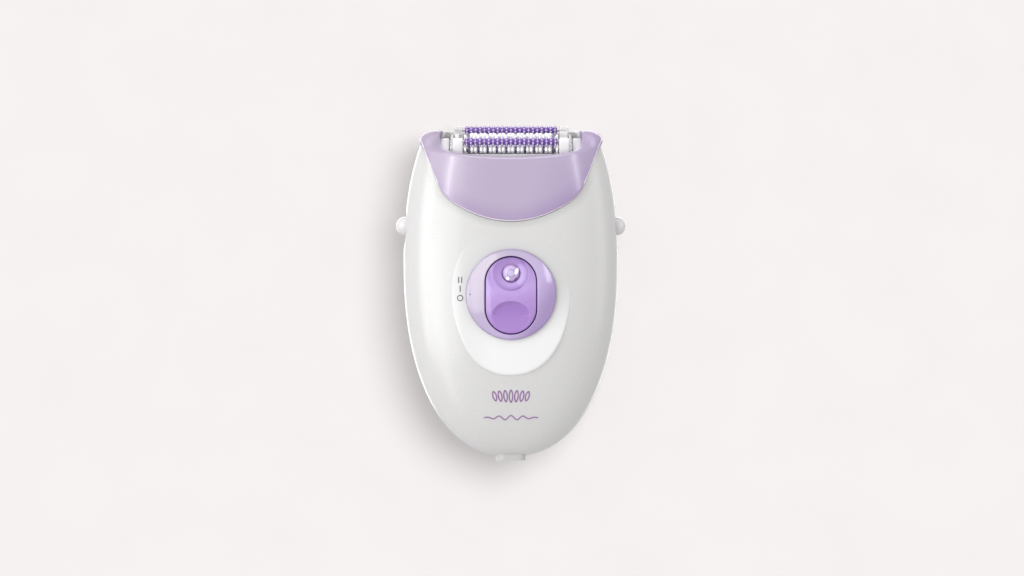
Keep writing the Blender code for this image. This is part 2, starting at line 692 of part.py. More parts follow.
add_screws("chassis_screw", CHASSIS_SCREWS, CHASSIS_SEAT, tip_gap=0.4, point=0.6,
           shank_r=0.9, head_r=2.0, top_r=1.5, brim=0.9, head=1.3)
add_screws("board_screw", BOARD_SCREWS, BOARD_SEAT, tip_gap=0.35, point=0.3,
           shank_r=0.75, head_r=1.7, top_r=1.3, brim=0.8, head=1.1)

# ---------------------------------------------------------------- cord socket and its pins
PIN_X, PIN_R, PIN_HOLE_R = 1.9, 0.55, 0.85

socket_body = prism("z", socket_outline(), 0.0, 13.0)
cut(socket_body, prism("z", [(x * 0.74, y * 0.70) for x, y in socket_outline()], -3.0, 9.0))
for side, word in SIDES:
    centre = (side * PIN_X, 0)
    cut(socket_body, disc("z", centre, PIN_HOLE_R, 5, 20, 10))
    piece("socket_pin_" + word, disc("z", centre, PIN_R, 6.0, 15.0, 10), STEEL, (*centre, 9.0))
piece("socket_body", socket_body, WHITE, (0, 0, 0))

# ---------------------------------------------------------------- wires
WIRE_R = 0.45
WIRES = (   # name, material, points (x, y, z) of the centre line
    ("wire_socket_plus", RED,
     [(1.9, 0, 15.8), (2.6, -1.0, 21), (4.5, -6.0, 29), (5.0, -8.2, 33)]),
    ("wire_socket_minus", BLACK,
     [(-1.9, 0, 15.8), (-2.6, -1.0, 21), (-4.5, -6.0, 29), (-5.0, -8.2, 33)]),
    ("wire_motor_plus", RED,
     [(-17.6, 7.2, 70), (-21.0, 6.8, 66), (-21.6, 4.5, 55),
      (-18.6, -2.0, 47.5), (-13.5, -6.5, 45.8), (-10.5, -8.3, 45.5)]),
    ("wire_motor_minus", BLACK,
     [(-17.6, -1.8, 70), (-21.2, -1.6, 66), (-22.6, -1.0, 55),
      (-19.8, -4.0, 45.0), (-14.8, -7.0, 42.4), (-11.5, -8.3, 42.0)]),
)


def wire(points):
    curve = bpy.data.curves.new("wire", "CURVE")
    curve.dimensions = "3D"
    curve.resolution_u = 4
    curve.bevel_depth = WIRE_R * MM
    curve.bevel_resolution = 0
    curve.use_fill_caps = True
    spline = curve.splines.new("BEZIER")
    spline.bezier_points.add(len(points) - 1)
    for knot, point in zip(spline.bezier_points, points):
        knot.co = [c * MM for c in point]
        knot.handle_left_type = knot.handle_right_type = "AUTO"
    curve_object = bpy.data.objects.new("wire_curve", curve)
    bpy.context.scene.collection.objects.link(curve_object)
    mesh = evaluated_mesh(curve_object)
    bpy.data.objects.remove(curve_object, do_unlink=True)
    return add_object(mesh)


for name, mat, points in WIRES:
    label(name, wire(points), mat)

# ---------------------------------------------------------------- head covers: coloured front, white back
EAR_TOP = 113.9        # top of the ears at the two sides
LIP_FRONT = 104.3      # lip height at the middle of the front
LIP_BOW = 1.7          # its rise from there to the foot of the ears
LIP_REAR = 113.2
EAR_START = 0.67       # share of the half width where the front lip turns up into the ears
COVER_WRAP = 3         # columns by which the front cover runs round to the back
COVER_GAP = 1.2        # gap between the covers, in degrees
COVER_WALL = 1.9
# rolls of the lip: outer width, outer height, inner width, inner height
SLIM_LIP = (1.1, 1.2, 0.8, 0.8)
EAR_LIP = (3.8, 3.4, 1.1, 2.2)


def lip_height(phi):
    c, s = shares(phi)
    c = abs(c)
    if is_front(s):
        low = LIP_FRONT + LIP_BOW * (min(c, EAR_START) / EAR_START) ** 2
        return blend(low, EAR_TOP, smooth01((c - EAR_START) / (1 - EAR_START)))
    return blend(LIP_REAR, EAR_TOP, smooth01((c - 0.45) / 0.4))


def lip_shape(phi):
    c, s = shares(phi)
    start, length = (0.66, 0.27) if is_front(s) else (0.77, 0.17)
    t = smooth01((abs(c) - start) / length)
    return [blend(slim, ear, t) for slim, ear in zip(SLIM_LIP, EAR_LIP)]


def head_section(phi):
    z_low, z_top = edge_z(phi), lip_height(phi)
    outer_w, outer_h, inner_w, inner_h = lip_shape(phi)
    z_outer = max(z_top - outer_h, z_low + 0.4)
    outer_h = z_top - z_outer
    z_inner = max(z_top - inner_h, z_low + 0.2)
    inner_h = z_top - z_inner
    outer = [skin(phi, z_low + (z_outer - z_low) * i / 4) for i in range(5)]
    for a in map(math.radians, (25, 50, 72, 90)):
        outer.append(skin(phi, z_outer + outer_h * math.sin(a), outer_w * (1 - math.cos(a))))
    inner = []
    for i in range(5):
        z = z_low + (z_inner - z_low) * i / 4
        swell = smooth01((z - z_inner + 6.5) / 6.5)
        inner.append(skin(phi, z, blend(COVER_WALL, outer_w + inner_w, swell)))
    for a in map(math.radians, (30, 60, 80, 90)):
        inner.append(skin(phi, z_inner + inner_h * math.sin(a), outer_w + inner_w * math.cos(a)))
    return outer, inner


front_columns = columns(-COVER_WRAP, COLS + COVER_WRAP)
piece("head_cover_front", swept([head_section(phi) for phi in front_columns]), LILAC, (0, 0, 100))
rear_columns = columns(COLS + COVER_WRAP, 2 * COLS - COVER_WRAP)
rear_columns[0] += COVER_GAP
rear_columns[-1] -= COVER_GAP
piece("head_cover_rear", swept([head_section(phi) for phi in rear_columns]), PEARL, (0, 0, 105))

# ---------------------------------------------------------------- head frame
V = (-math.cos(TILT), -math.sin(TILT))     # forward across the working opening, as (y, z)
U = (-math.sin(TILT), math.cos(TILT))      # out of the working opening


def local(v, u):
    """(y, z) of a point given in the tilted frame about the barrel's axis."""
    return BARREL[0] + v * V[0] + u * U[0], BARREL[1] + v * V[1] + u * U[1]


def block(x_span, v_span, u_span):
    (v0, v1), (u0, u1) = v_span, u_span
    return prism("x", [local(v0, u0), local(v1, u0), local(v1, u1), local(v0, u1)], *x_span)


TROUGH_R = (7.0, 8.3)
END_PLATE_X = (21.9, 23.4)
END_PLATE_OUTLINE = [(-8.6, 100.4), (9.6, 100.4), (9.6, 104.0), (7.2, 106.8),    # (y, z)
                     (3.8, 109.9), (-3.0, 109.9), (-6.2, 107.0), (-8.4, 104.0)]
RAIL_U = (-4.7, -3.1)                      # rails along both edges of the trough
LEG_Y = (-3.0, 3.0)                        # legs that reach down past the release buttons
LEG_X, LEG_Z = (25.6, 27.2), (77.5, 100.5)
BUSH_HOLE_R = 2.7

trough = []
for radius, degrees in zip(TROUGH_R, (range(200, 341, 20), range(340, 199, -20))):
    trough += [local(radius * math.cos(a), radius * math.sin(a)) for a in map(math.radians, degrees)]
head_frame = prism("x", trough, -22.5, 15.9)
for side, _ in SIDES:
    join(head_frame, prism("x", END_PLATE_OUTLINE, *span(side, *END_PLATE_X)))
for v_span in ((6.9, 9.2), (-8.9, -6.9)):
    join(head_frame, block((-22.5, 22.5), v_span, RAIL_U))
for side, _ in SIDES:
    join(head_frame, box(span(side, 22.0, LEG_X[1]), LEG_Y, (99.2, 101.0)))
    join(head_frame, box(span(side, *LEG_X), LEG_Y, LEG_Z))
for side, _ in SIDES:
    bore(head_frame, BARREL, side * 21.0, side * 25.0, BUSH_HOLE_R, 16)
piece("head_frame", head_frame, WHITE, (0, *BARREL))

# ---------------------------------------------------------------- barrel bushes, axle and cam
CAM_SIDES = 20
CAM_FACE_X, CAM_BACK_X = -17.2, -19.3
CAM_LIFT = 0.5                             # half the cam's travel
CAM_R = (2.2, 5.2)


def cam_ring():
    """A fixed ring with one thick side, which pushes the moving plates as the barrel turns."""
    inner_r, outer_r = CAM_R
    rings = []
    for k in range(CAM_SIDES):
        a = 2 * math.pi * k / CAM_SIDES
        face = CAM_FACE_X - CAM_LIFT * (1 - math.cos(a))
        corners = ((face, inner_r), (face, outer_r), (CAM_BACK_X, outer_r), (CAM_BACK_X, inner_r))
        rings.append([(x, *polar(BARREL, r, a)) for x, r in corners])
    return loft(rings, closed=True)


for side, word in SIDES:
    x0, x1 = side * 21.7, side * 23.6
    bush = turned("x", [(x0, 1.3), (x0, 2.4), (x1, 2.4), (x1, 1.3)], BARREL, 16)
    piece("barrel_bush_" + word, bush, BRASS, (side * 22.6, *BARREL))
barrel_axle = turned("x", [(-23.9, 0), (-23.9, 0.8), (-23.7, AXLE_R), (23.7, AXLE_R),
                           (23.9, 0.8), (23.9, 0)], BARREL, 12)
piece("barrel_axle", barrel_axle, STEEL, (0, *BARREL))
barrel_cam = cam_ring()
join(barrel_cam, block((-21.5, -18.9), (-1.6, 1.6), (-4.6, -2.9)))
piece("barrel_cam", barrel_cam, ACETAL, (-18.5, *BARREL))

# ---------------------------------------------------------------- tweezer barrel
BARREL_HALF = 14.8     # half length of the core
RIB_PITCH, RIB_COUNT = 1.6, 18
RIB_T, RIB_R, HUB_R = 0.5, 5.45, 3.0
NOTCH = 22.0           # half angle of the four notches in each rib, in degrees
FIRST_RIB_X = -RIB_PITCH * (RIB_COUNT - 1) / 2
COMB_X = 15.4          # inner face of a comb's end ring
COMB_RING_R, COMB_RING_T = (3.3, 5.0), 0.8
COMB_BAR_R = (3.45, 4.5)
COMB_TIP_R = 6.05      # tip radius of the tweezers
TOOTH_HALF_T, TOOTH_HALF_W = 0.15, 0.9


def rib_core():
    corners = []                           # (degrees, on a rib's full radius)
    for mid in (45, 135, 225, 315):
        corners += [(mid - NOTCH - 1.5, True), (mid - NOTCH, False), (mid + NOTCH, False),
                    (mid + NOTCH + 1.5, True), (mid + 45, True)]
    stops = [(-BARREL_HALF, False)]        # (x, on a rib)
    for k in range(RIB_COUNT):
        x, half = FIRST_RIB_X + RIB_PITCH * k, RIB_T / 2
        stops += [(x - half, False), (x - half + 0.02, True),
                  (x + half - 0.02, True), (x + half, False)]
    stops.append((BARREL_HALF, False))
    rings = []
    for x, on_rib in stops:
        high_r, low_r = (RIB_R, HUB_R - 0.1) if on_rib else (HUB_R, HUB_R)
        rings.append([(x, *polar(BARREL, high_r if high else low_r, math.radians(degrees)))
                      for degrees, high in corners])
    return loft(rings, capped=True)


def comb(rows, side):
    """Moving tweezer plates: toothed bars at the angles in rows, tied by a ring at one end."""
    ring_x = COMB_X * side
    (ring_in, ring_out), (bar_in, bar_out) = COMB_RING_R, COMB_BAR_R
    far_x = ring_x + COMB_RING_T * side
    body = turned("x", [(ring_x, ring_in), (ring_x, ring_out), (far_x, ring_out), (far_x, ring_in)],
                  BARREL, 24)
    free_x, root_x = -ring_x * 0.955, ring_x + COMB_RING_T / 2 * side
    profile = [(free_x, bar_in), (root_x, bar_in), (root_x, bar_out)]
    half = TOOTH_HALF_T * side
    for k in range(RIB_COUNT - 1)[::-side]:
        x = FIRST_RIB_X + RIB_PITCH * (k + 0.5)
        profile += [(x + half, bar_out), (x + half, COMB_TIP_R),
                    (x - half, COMB_TIP_R), (x - half, bar_out)]
    profile.append((free_x, bar_out))
    for a in map(math.radians, rows):
        faces = []
        for t in (-TOOTH_HALF_W, TOOTH_HALF_W):
            shifted = (BARREL[0] - t * math.sin(a), BARREL[1] + t * math.cos(a))
            faces.append([(x, *polar(shifted, r, a)) for x, r in profile])
        join(body, loft(faces, capped=True))
    return body


barrel_core = rib_core()
bore(barrel_core, BARREL)
piece("barrel_core", barrel_core, ROLLER_PURPLE, (0, *BARREL))
piece("tweezer_comb_a", comb((45, 225), -1), STEEL, (0, *BARREL))
piece("tweezer_comb_b", comb((135, 315), 1), STEEL, (0, *BARREL))

# ---------------------------------------------------------------- clip-on massage rollers
ROLLER_V, ROLLER_U = 7.4, 4.7              # roller axes in the tilted frame
ROLLER_HALF = 16.0
ROLLER_R, ROLLER_LOW_R, ROLLER_BORE_R = 1.95, 1.05, 0.7   # bump tips, between bumps, bore
ROLLER_SIDES, ROLLER_COLS = 10, 38
ROLLER_PIN_R, ROLLER_PIN_HALF = 0.42, 19.4
BAR_X, BAR_V, BAR_U = (-18.3, 18.3), (7.75, 9.1), (-0.8, 0.6)
ROLLER_CHEEK_X, ROLLER_CHEEK_V, ROLLER_CHEEK_U = (16.5, 20.0), (6.95, 9.3), (-2.1, 5.9)
LINK_X, LINK_V, LINK_U = (19.7, 21.0), (-9.15, 9.15), (1.5, 3.2)


def add_roller_cheeks(frame, v_side):
    for side, _ in SIDES:
        join(frame, block(span(side, *ROLLER_CHEEK_X), span(v_side, *ROLLER_CHEEK_V),
                          ROLLER_CHEEK_U))


def massage_roller(centre):
    """A bored roller with staggered bumps."""
    def ring(x, radii):
        return [(x, *polar(centre, r, 2 * math.pi * j / ROLLER_SIDES)) for j, r in enumerate(radii)]

    verts = []
    for k in range(ROLLER_COLS + 1):
        radii = [ROLLER_R if (k + j) % 2 and 0 < k < ROLLER_COLS else ROLLER_LOW_R
                 for j in range(ROLLER_SIDES)]
        verts += ring(-ROLLER_HALF + 2 * ROLLER_HALF * k / ROLLER_COLS, radii)
    faces = loft_faces(ROLLER_COLS + 1, ROLLER_SIDES)
    last, bore_0 = ROLLER_COLS * ROLLER_SIDES, len(verts)
    bore_1 = bore_0 + ROLLER_SIDES
    for x in (-ROLLER_HALF, ROLLER_HALF):
        verts += ring(x, [ROLLER_BORE_R] * ROLLER_SIDES)
    for j in range(ROLLER_SIDES):
        i = (j + 1) % ROLLER_SIDES
        for a, b in ((0, bore_0), (last, bore_1), (bore_0, bore_1)):
            faces.append((a + j, a + i, b + i, b + j))
    return solid(verts, faces)


massage_frame = block(BAR_X, BAR_V, BAR_U)
add_roller_cheeks(massage_frame, 1)
for side, _ in SIDES:
    join(massage_frame, block(span(side, *LINK_X), LINK_V, LINK_U))
add_roller_cheeks(massage_frame, -1)
join(massage_frame, block(BAR_X, span(-1, *BAR_V), BAR_U))
for v, word in ((ROLLER_V, "front"), (-ROLLER_V, "rear")):
    centre = local(v, ROLLER_U)
    bore(massage_frame, centre, radius=0.75)
    piece("massage_roller_" + word, massage_roller(centre), ROLLER_PURPLE, (0, *centre), sharp=20)
    pin = disc("x", centre, ROLLER_PIN_R, -ROLLER_PIN_HALF, ROLLER_PIN_HALF, 8)
    piece("roller_pin_" + word, pin, STEEL, (0, *centre))
piece("massage_frame", massage_frame, CLEAR, (0, *local(0, 2)))
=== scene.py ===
"""The looks of an epilator: fine meshes and finishes round its CAD frame, floor, lights, camera.

It lies on its back with its length along z, head end up (+z), front towards -y and x across.
Shapes are given in millimetres; build() turns them into metres. The stage is in metres.
"""
import json
import math

import bmesh
import bpy
import numpy as np
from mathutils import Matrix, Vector

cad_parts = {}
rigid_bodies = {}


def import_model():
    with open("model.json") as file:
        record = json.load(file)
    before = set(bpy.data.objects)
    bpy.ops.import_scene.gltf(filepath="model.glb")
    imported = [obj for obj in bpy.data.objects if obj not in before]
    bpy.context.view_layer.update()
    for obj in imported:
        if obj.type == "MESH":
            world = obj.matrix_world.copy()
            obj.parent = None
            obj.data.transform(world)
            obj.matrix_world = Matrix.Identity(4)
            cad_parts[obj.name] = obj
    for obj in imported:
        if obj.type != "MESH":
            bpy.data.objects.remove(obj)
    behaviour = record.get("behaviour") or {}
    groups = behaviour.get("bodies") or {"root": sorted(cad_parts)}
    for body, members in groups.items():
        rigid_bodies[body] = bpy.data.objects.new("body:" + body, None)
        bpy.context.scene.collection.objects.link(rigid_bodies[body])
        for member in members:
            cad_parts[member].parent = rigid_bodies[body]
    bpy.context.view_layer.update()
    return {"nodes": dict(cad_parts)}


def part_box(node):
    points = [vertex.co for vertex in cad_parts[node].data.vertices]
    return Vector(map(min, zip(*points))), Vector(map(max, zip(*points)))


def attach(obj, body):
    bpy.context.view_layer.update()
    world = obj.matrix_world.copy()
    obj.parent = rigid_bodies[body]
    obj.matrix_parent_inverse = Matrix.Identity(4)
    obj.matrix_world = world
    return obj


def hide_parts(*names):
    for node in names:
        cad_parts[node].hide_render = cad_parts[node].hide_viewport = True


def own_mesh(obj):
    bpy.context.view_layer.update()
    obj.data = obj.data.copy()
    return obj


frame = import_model()
MM = 0.001

# ---------------------------------------------------------------- driving sizes (mm)
# casing: superellipses for the outline, the depth and the cross-section
HALF_WIDTH = 37.1
HALF_HEIGHT = 67.1
MID_Z = 68.4
OUTLINE_POWER = 2.25
FRONT_DEPTH = 16.2
REAR_DEPTH = 20.9
REAR_FLAT = 19.75           # y of the flat the casing rests on
DEPTH_POWER = 2.4
SECTION_POWER = 2.5
WALL = 1.8
# lower edge of the head covers: a bowl in front that turns steep beyond the knee
EDGE_LOW = 82.1
EDGE_BOWL = 0.0163
EDGE_STEEP = 1.7
EDGE_KNEE = 23.7
REAR_EDGE = 99.0
# upper lip of the head covers
EAR_TOP = 113.9
LIP_FRONT = 104.3
LIP_REAR = 113.2
# working opening and tweezer barrel
TILT = math.radians(17.2)
BARREL_Y = 0.5
BARREL_Z = 107.3
BARREL_R = 6.05
ROLLER_V = 7.4              # rollers, on the opening's own axes
ROLLER_U = 4.7
# switch
KNOB_Z = 57.2
KNOB_R = 15.5
INSERT_Z = 56.9
INSERT_HALF_X = 8.75
INSERT_HALF_Z = 13.2
THUMB_Z = 50.1
LENS_Z = 64.4
LENS_R = 3.1
# glossy panel
PANEL_Z = 58.7
PANEL_HALF_X = 20.2
PANEL_DOWN = 29.3
PANEL_UP = 20.6
PANEL_POWER = 2.2
# side buttons
BUTTON_Z = 80.8
BUTTON_R = 3.2


# ---------------------------------------------------------------- the body's form
def smooth01(t):
    t = np.clip(t, 0.0, 1.0)
    return t * t * (3 - 2 * t)


def signed_power(value, power):
    return np.sign(value) * np.abs(value) ** power


def quarter_round(share):
    """Height of a quarter circle: 0 at its edge, 1 from the share 1 inward."""
    return math.sqrt(max(0.0, 1 - (1 - min(1.0, share)) ** 2))


def arch(z, reach, inset, power):
    """Extent at height z of a superellipse over the body's height, pulled in by inset."""
    t = np.minimum(1.0, np.abs((z - MID_Z) / (HALF_HEIGHT - inset)))
    return (reach - inset) * np.maximum(0.0, 1.0 - t ** power) ** (1.0 / power)


def half_width(z, inset=0.0):
    return arch(z, HALF_WIDTH, inset, OUTLINE_POWER)


def front_depth(z, inset=0.0):
    return arch(z, FRONT_DEPTH, inset, DEPTH_POWER)


def rear_depth(z, inset=0.0):
    thinned = 3.2 * smooth01((z - 78.0) / 34.0)
    return np.maximum(0.0, arch(z, REAR_DEPTH, inset, DEPTH_POWER) - thinned)


def shares(angles):
    """Shares of the half width (to +x) and the depth (to the front) at angles in degrees."""
    def share(value):
        return signed_power(np.where(np.abs(value) < 1e-9, 0, value), 2 / SECTION_POWER)
    turn = np.radians(angles)
    return share(np.cos(turn)), share(np.sin(turn))


def skin(across, forward, z, inset=0.0):
    """Points on the casing's surface for the two shares, or inset from it."""
    flat = REAR_FLAT - inset
    rear = rear_depth(z, inset) * -forward
    # a soft shoulder round the rest flat
    soft = flat - np.log1p(np.exp(np.clip((flat - rear) * 2.2, -40, 40))) / 2.2
    rear = np.where(rear < 1.0, rear, soft)
    y = np.where(forward >= 0, -front_depth(z, inset) * forward, np.minimum(rear, flat))
    return np.stack(np.broadcast_arrays(half_width(z, inset) * across, y, z), -1)


def front_y(x, z):
    share = np.minimum(1.0, np.abs(x) / np.maximum(half_width(z), 1e-6))
    section = np.maximum(0, 1 - share ** SECTION_POWER) ** (1 / SECTION_POWER)
    return -front_depth(z) * section


def edge_front(x):
    x = np.abs(x)
    return EDGE_LOW + EDGE_BOWL * x * x + EDGE_STEEP * np.log1p(np.exp(x - EDGE_KNEE))


# where the front edge meets the outline, found by damped repetition
side_z = 105.0
for _ in range(80):
    side_z = 0.5 * side_z + 0.5 * float(edge_front(half_width(side_z)))
SIDE_HALF_WIDTH = float(half_width(side_z))


def edge_rear(x):
    return REAR_EDGE + (side_z - REAR_EDGE) * (np.abs(x) / SIDE_HALF_WIDTH) ** 3


def edge_z(angles):
    """Height of the line between casing and head covers, all the way round."""
    across, forward = shares(angles)
    z = np.full(np.shape(angles), 100.0)
    for _ in range(80):
        x = half_width(z) * np.abs(across)
        z = 0.5 * z + 0.5 * np.where(forward >= -1e-9, edge_front(x), edge_rear(x))
    return z


# ---------------------------------------------------------------- node trees
class Nodes:
    """Short calls for building in the node tree of one material or world."""

    def __init__(self, owner):
        owner.use_nodes = True
        self.owner = owner
        self.tree = owner.node_tree

    def put(self, socket, value):
        """Link an output to the socket, or set the socket's value."""
        if isinstance(value, bpy.types.NodeSocket):
            self.tree.links.new(value, socket)
        elif socket.type == "RGBA":
            socket.default_value = (*value[:3], 1.0)
        else:
            socket.default_value = value

    def fill(self, node, inputs):
        for name, value in inputs.items():
            self.put(node.inputs[name.replace("_", " ")], value)

    def add(self, kind, **inputs):
        node = self.tree.nodes.new("ShaderNode" + kind)
        self.fill(node, inputs)
        return node

    def bsdf(self, **inputs):
        self.fill(self.tree.nodes["Principled BSDF"], inputs)

    def base_color(self):
        """The output that now feeds the base colour."""
        return self.tree.nodes["Principled BSDF"].inputs["Base Color"].links[0].from_socket

    def coords(self):
        return self.add("TexCoord").outputs["Object"]

    def operate(self, kind, operation, values):
        node = self.add(kind)
        node.operation = operation
        for socket, value in zip(node.inputs, values):
            self.put(socket, value)
        return node

    def maths(self, operation, *values):
        return self.operate("Math", operation, values).outputs["Value"]

    def vector(self, operation, *values):
        out = "Value" if operation in ("LENGTH", "DOT_PRODUCT") else "Vector"
        return self.operate("VectorMath", operation, values).outputs[out]

    def remap(self, value, to=(0.0, 1.0), span=(0.3, 0.7)):
        """Carry the span of values over to the range `to`."""
        node = self.add("MapRange", From_Min=span[0], From_Max=span[1], To_Min=to[0],
                        To_Max=to[1], Value=value)
        return node.outputs["Result"]

    def mix(self, factor, first, second, blend="MIX"):
        node = self.add("Mix")
        node.data_type = "RGBA"
        node.blend_type = blend
        for socket, value in ((node.inputs["Factor"], factor), (node.inputs[6], first),
                              (node.inputs[7], second)):
            self.put(socket, value)
        return node.outputs[2]

    def noise(self, scale, detail=3.0, rough=0.5, stretch=None):
        coords = self.coords()
        if stretch:
            coords = self.add("Mapping", Scale=stretch, Vector=coords).outputs["Vector"]
        node = self.add("TexNoise", Scale=scale, Detail=detail, Roughness=rough, Vector=coords)
        return node.outputs["Fac"]

    def bump(self, strength, distance, height):
        node = self.add("Bump", Strength=strength, Distance=distance, Height=height)
        return node.outputs["Normal"]


def new_material(name):
    return Nodes(bpy.data.materials.new(name))


def scaled(color, factor):
    return tuple(min(1.0, c * factor) for c in color)


# ---------------------------------------------------------------- kinds of material
SCATTER_RADIUS = (1.0, 0.8, 1.0)


def plastic(name, color, rough, tint=0.04, grain=900.0, bump=0.02, metal=0.0, coat=0.0,
            scatter=0.0, clear=0.0, ior=1.47, specular=0.5, stretch=None, rough_spread=0.05):
    """Moulded or machined stuff: the colour drifts by tint, a fine grain breaks the shine."""
    nodes = new_material(name)
    drift = nodes.remap(nodes.noise(60.0, 2.0))
    fine = nodes.noise(grain, 3.0, 0.6, stretch)
    rough_range = (max(0.02, rough - rough_spread), rough + rough_spread)
    nodes.bsdf(
        Base_Color=nodes.mix(drift, scaled(color, 1 - tint), scaled(color, 1 + tint)),
        Roughness=nodes.remap(fine, rough_range),
        Normal=nodes.bump(bump, 0.0002, fine),
        Metallic=metal, Coat_Weight=coat, Coat_Roughness=0.08,
        Subsurface_Weight=scatter, Subsurface_Radius=SCATTER_RADIUS, Subsurface_Scale=0.0015,
        Transmission_Weight=clear, IOR=ior, Specular_IOR_Level=specular)
    return nodes.owner


def pearl(name, color, rough, flake=0.10, coat=0.35, above=None):
    """Pearly moulding: fine flakes under a thin coat, paler where it turns away.

    above is (low z, high z, colour): the colour takes over between the two heights.
    """
    nodes = new_material(name)
    coords = nodes.coords()
    cells = nodes.add("TexVoronoi", Scale=5200.0, Vector=coords).outputs["Color"]
    hue = nodes.add("SeparateColor", Color=cells)
    shade = nodes.remap(hue.outputs["Red"], span=(0.0, 1.0))
    base = nodes.mix(shade, scaled(color, 1 - flake * 0.35), scaled(color, 1 + flake * 0.35))
    facing = nodes.add("LayerWeight", Blend=0.35).outputs["Facing"]
    base = nodes.mix(nodes.remap(facing, (0.0, 0.5), (0.2, 1.0)), base, (0.80, 0.79, 0.82))
    if above:
        low, high, other = above
        place = nodes.add("SeparateXYZ", Vector=coords)
        height = nodes.remap(place.outputs["Z"], span=(low * MM, high * MM))
        base = nodes.mix(height, base, other)
    nodes.bsdf(
        Base_Color=base,
        Roughness=nodes.remap(nodes.noise(140.0), (rough - 0.008, rough + 0.008)),
        Normal=nodes.bump(0.012, 0.0001, hue.outputs["Green"]),
        Coat_Weight=coat, Coat_Roughness=0.16)
    return nodes.owner


def graded(name, stops, origin, reach, rough, scatter, coat, along=None, across=None,
           coat_rough=0.04):
    """Tinted clear plastic whose colour drifts with the distance from origin.

    The distance runs in the direction `along`, or outward within the axes kept by the mask
    `across`; reach is its range in mm, and stops are (share of the reach, colour).
    """
    nodes = new_material(name)
    away = nodes.vector("SUBTRACT", nodes.coords(), [c * MM for c in origin])
    if across:
        distance = nodes.vector("LENGTH", nodes.vector("MULTIPLY", away, across))
    else:
        distance = nodes.vector("DOT_PRODUCT", away, along)
    share = nodes.remap(distance, span=(reach[0] * MM, reach[1] * MM))
    wobble = nodes.remap(nodes.noise(220.0, 2.0), (-0.012, 0.012))
    ramp = nodes.add("ValToRGB", Fac=nodes.maths("ADD", share, wobble))
    elements = ramp.color_ramp.elements
    while len(elements) < len(stops):
        elements.new(0.5)
    for element, (position, color) in zip(elements, stops):
        element.position = position
        element.color = (*color, 1.0)
    nodes.bsdf(
        Base_Color=ramp.outputs["Color"],
        Roughness=nodes.remap(nodes.noise(200.0, 2.0), (rough - 0.005, rough + 0.005)),
        Subsurface_Weight=scatter, Subsurface_Radius=SCATTER_RADIUS, Subsurface_Scale=0.002,
        Coat_Weight=coat, Coat_Roughness=coat_rough, IOR=1.47)
    return nodes.owner


def paint_edge_shade(material, tint, to, span):
    """Painted shade along the front cover's lower edge: deepen the colour by the distance (span,
    mm) inside it.
    """
    nodes = Nodes(material)
    maths = nodes.maths
    place = nodes.add("SeparateXYZ", Vector=nodes.coords()).outputs
    x = maths("MULTIPLY", maths("ABSOLUTE", place["X"]), 1000.0)
    z = maths("MULTIPLY", place["Z"], 1000.0)
    # the edge's height as in edge_front(), and its slope
    growth = maths("POWER", math.e, maths("SUBTRACT", x, EDGE_KNEE))
    growth_plus = maths("ADD", growth, 1.0)
    bowl = maths("MULTIPLY", maths("MULTIPLY", x, x), EDGE_BOWL)
    steep = maths("MULTIPLY", maths("LOGARITHM", growth_plus, math.e), EDGE_STEEP)
    rise = maths("SUBTRACT", maths("SUBTRACT", maths("SUBTRACT", z, EDGE_LOW), bowl), steep)
    steep_slope = maths("MULTIPLY", maths("DIVIDE", growth, growth_plus), EDGE_STEEP)
    slope = maths("ADD", maths("MULTIPLY", x, 2 * EDGE_BOWL), steep_slope)
    run = maths("SQRT", maths("ADD", maths("MULTIPLY", slope, slope), 1.0))
    near_edge = nodes.remap(maths("DIVIDE", rise, run), to, span)
    in_front = nodes.remap(place["Y"], (1.0, 0.0), (-0.007, -0.002))
    low_down = nodes.remap(z, (1.0, 0.2), (94.0, 101.0))
    factor = maths("MULTIPLY", maths("MULTIPLY", near_edge, in_front), low_down)
    nodes.bsdf(Base_Color=nodes.mix(factor, nodes.base_color(), tint, "MULTIPLY"))


def tint_panel(material):
    """Grey the glossy panel towards its left side (-x)."""
    nodes = Nodes(material)
    was = nodes.base_color()
    place = nodes.add("SeparateXYZ", Vector=nodes.coords())
    rightward = nodes.remap(place.outputs["X"], span=(-0.021, -0.006))
    nodes.bsdf(Base_Color=nodes.mix(rightward, (0.76, 0.76, 0.755), was))


def paint_insert_shade(material):
    """Painted shade: deepen the insert's colour in its thumb dish and in a ring round the lens."""
    nodes = Nodes(material)
    coords = nodes.coords()

    def distance_from(height, scale):
        """Offset from (0, 0, height), and its length scaled in the xz plane."""
        offset = nodes.add("Mapping", Location=(0.0, 0.0, -height * MM), Vector=coords)
        offset = offset.outputs["Vector"]
        flat = nodes.add("Mapping", Scale=scale, Vector=offset).outputs["Vector"]
        return offset, nodes.vector("LENGTH", flat)

    # painted shade in the dish, an ellipse of 6.6 by 5.0 mm half axes, darkest at its top
    offset, distance = distance_from(THUMB_Z, (1000.0 / 6.6, 0.0, 1000.0 / 5.0))
    inside = nodes.remap(distance, (1.0, 0.0), (0.93, 1.0))
    height = nodes.add("SeparateXYZ", Vector=offset).outputs["Z"]
    dish = nodes.maths("MULTIPLY", inside, nodes.remap(height, span=(-0.0055, 0.0015)))
    color = nodes.mix(dish, nodes.base_color(), (0.39, 0.215, 0.61))
    # painted shade in a ring round the lens, radii in mm, darkest below on the right
    offset, distance = distance_from(LENS_Z, (1000.0, 0.0, 1000.0))
    start = nodes.remap(distance, span=(4.2, 5.7))
    stop = nodes.remap(distance, (1.0, 0.0), (5.9, 6.2))
    lean = nodes.vector("DOT_PRODUCT", offset, (0.8, 0.0, -0.6))
    ring = nodes.maths("MULTIPLY", nodes.maths("MULTIPLY", start, stop),
                       nodes.remap(lean, (0.25, 1.0), (-0.004, 0.005)))
    nodes.bsdf(Base_Color=nodes.mix(ring, color, (0.30, 0.17, 0.50)))
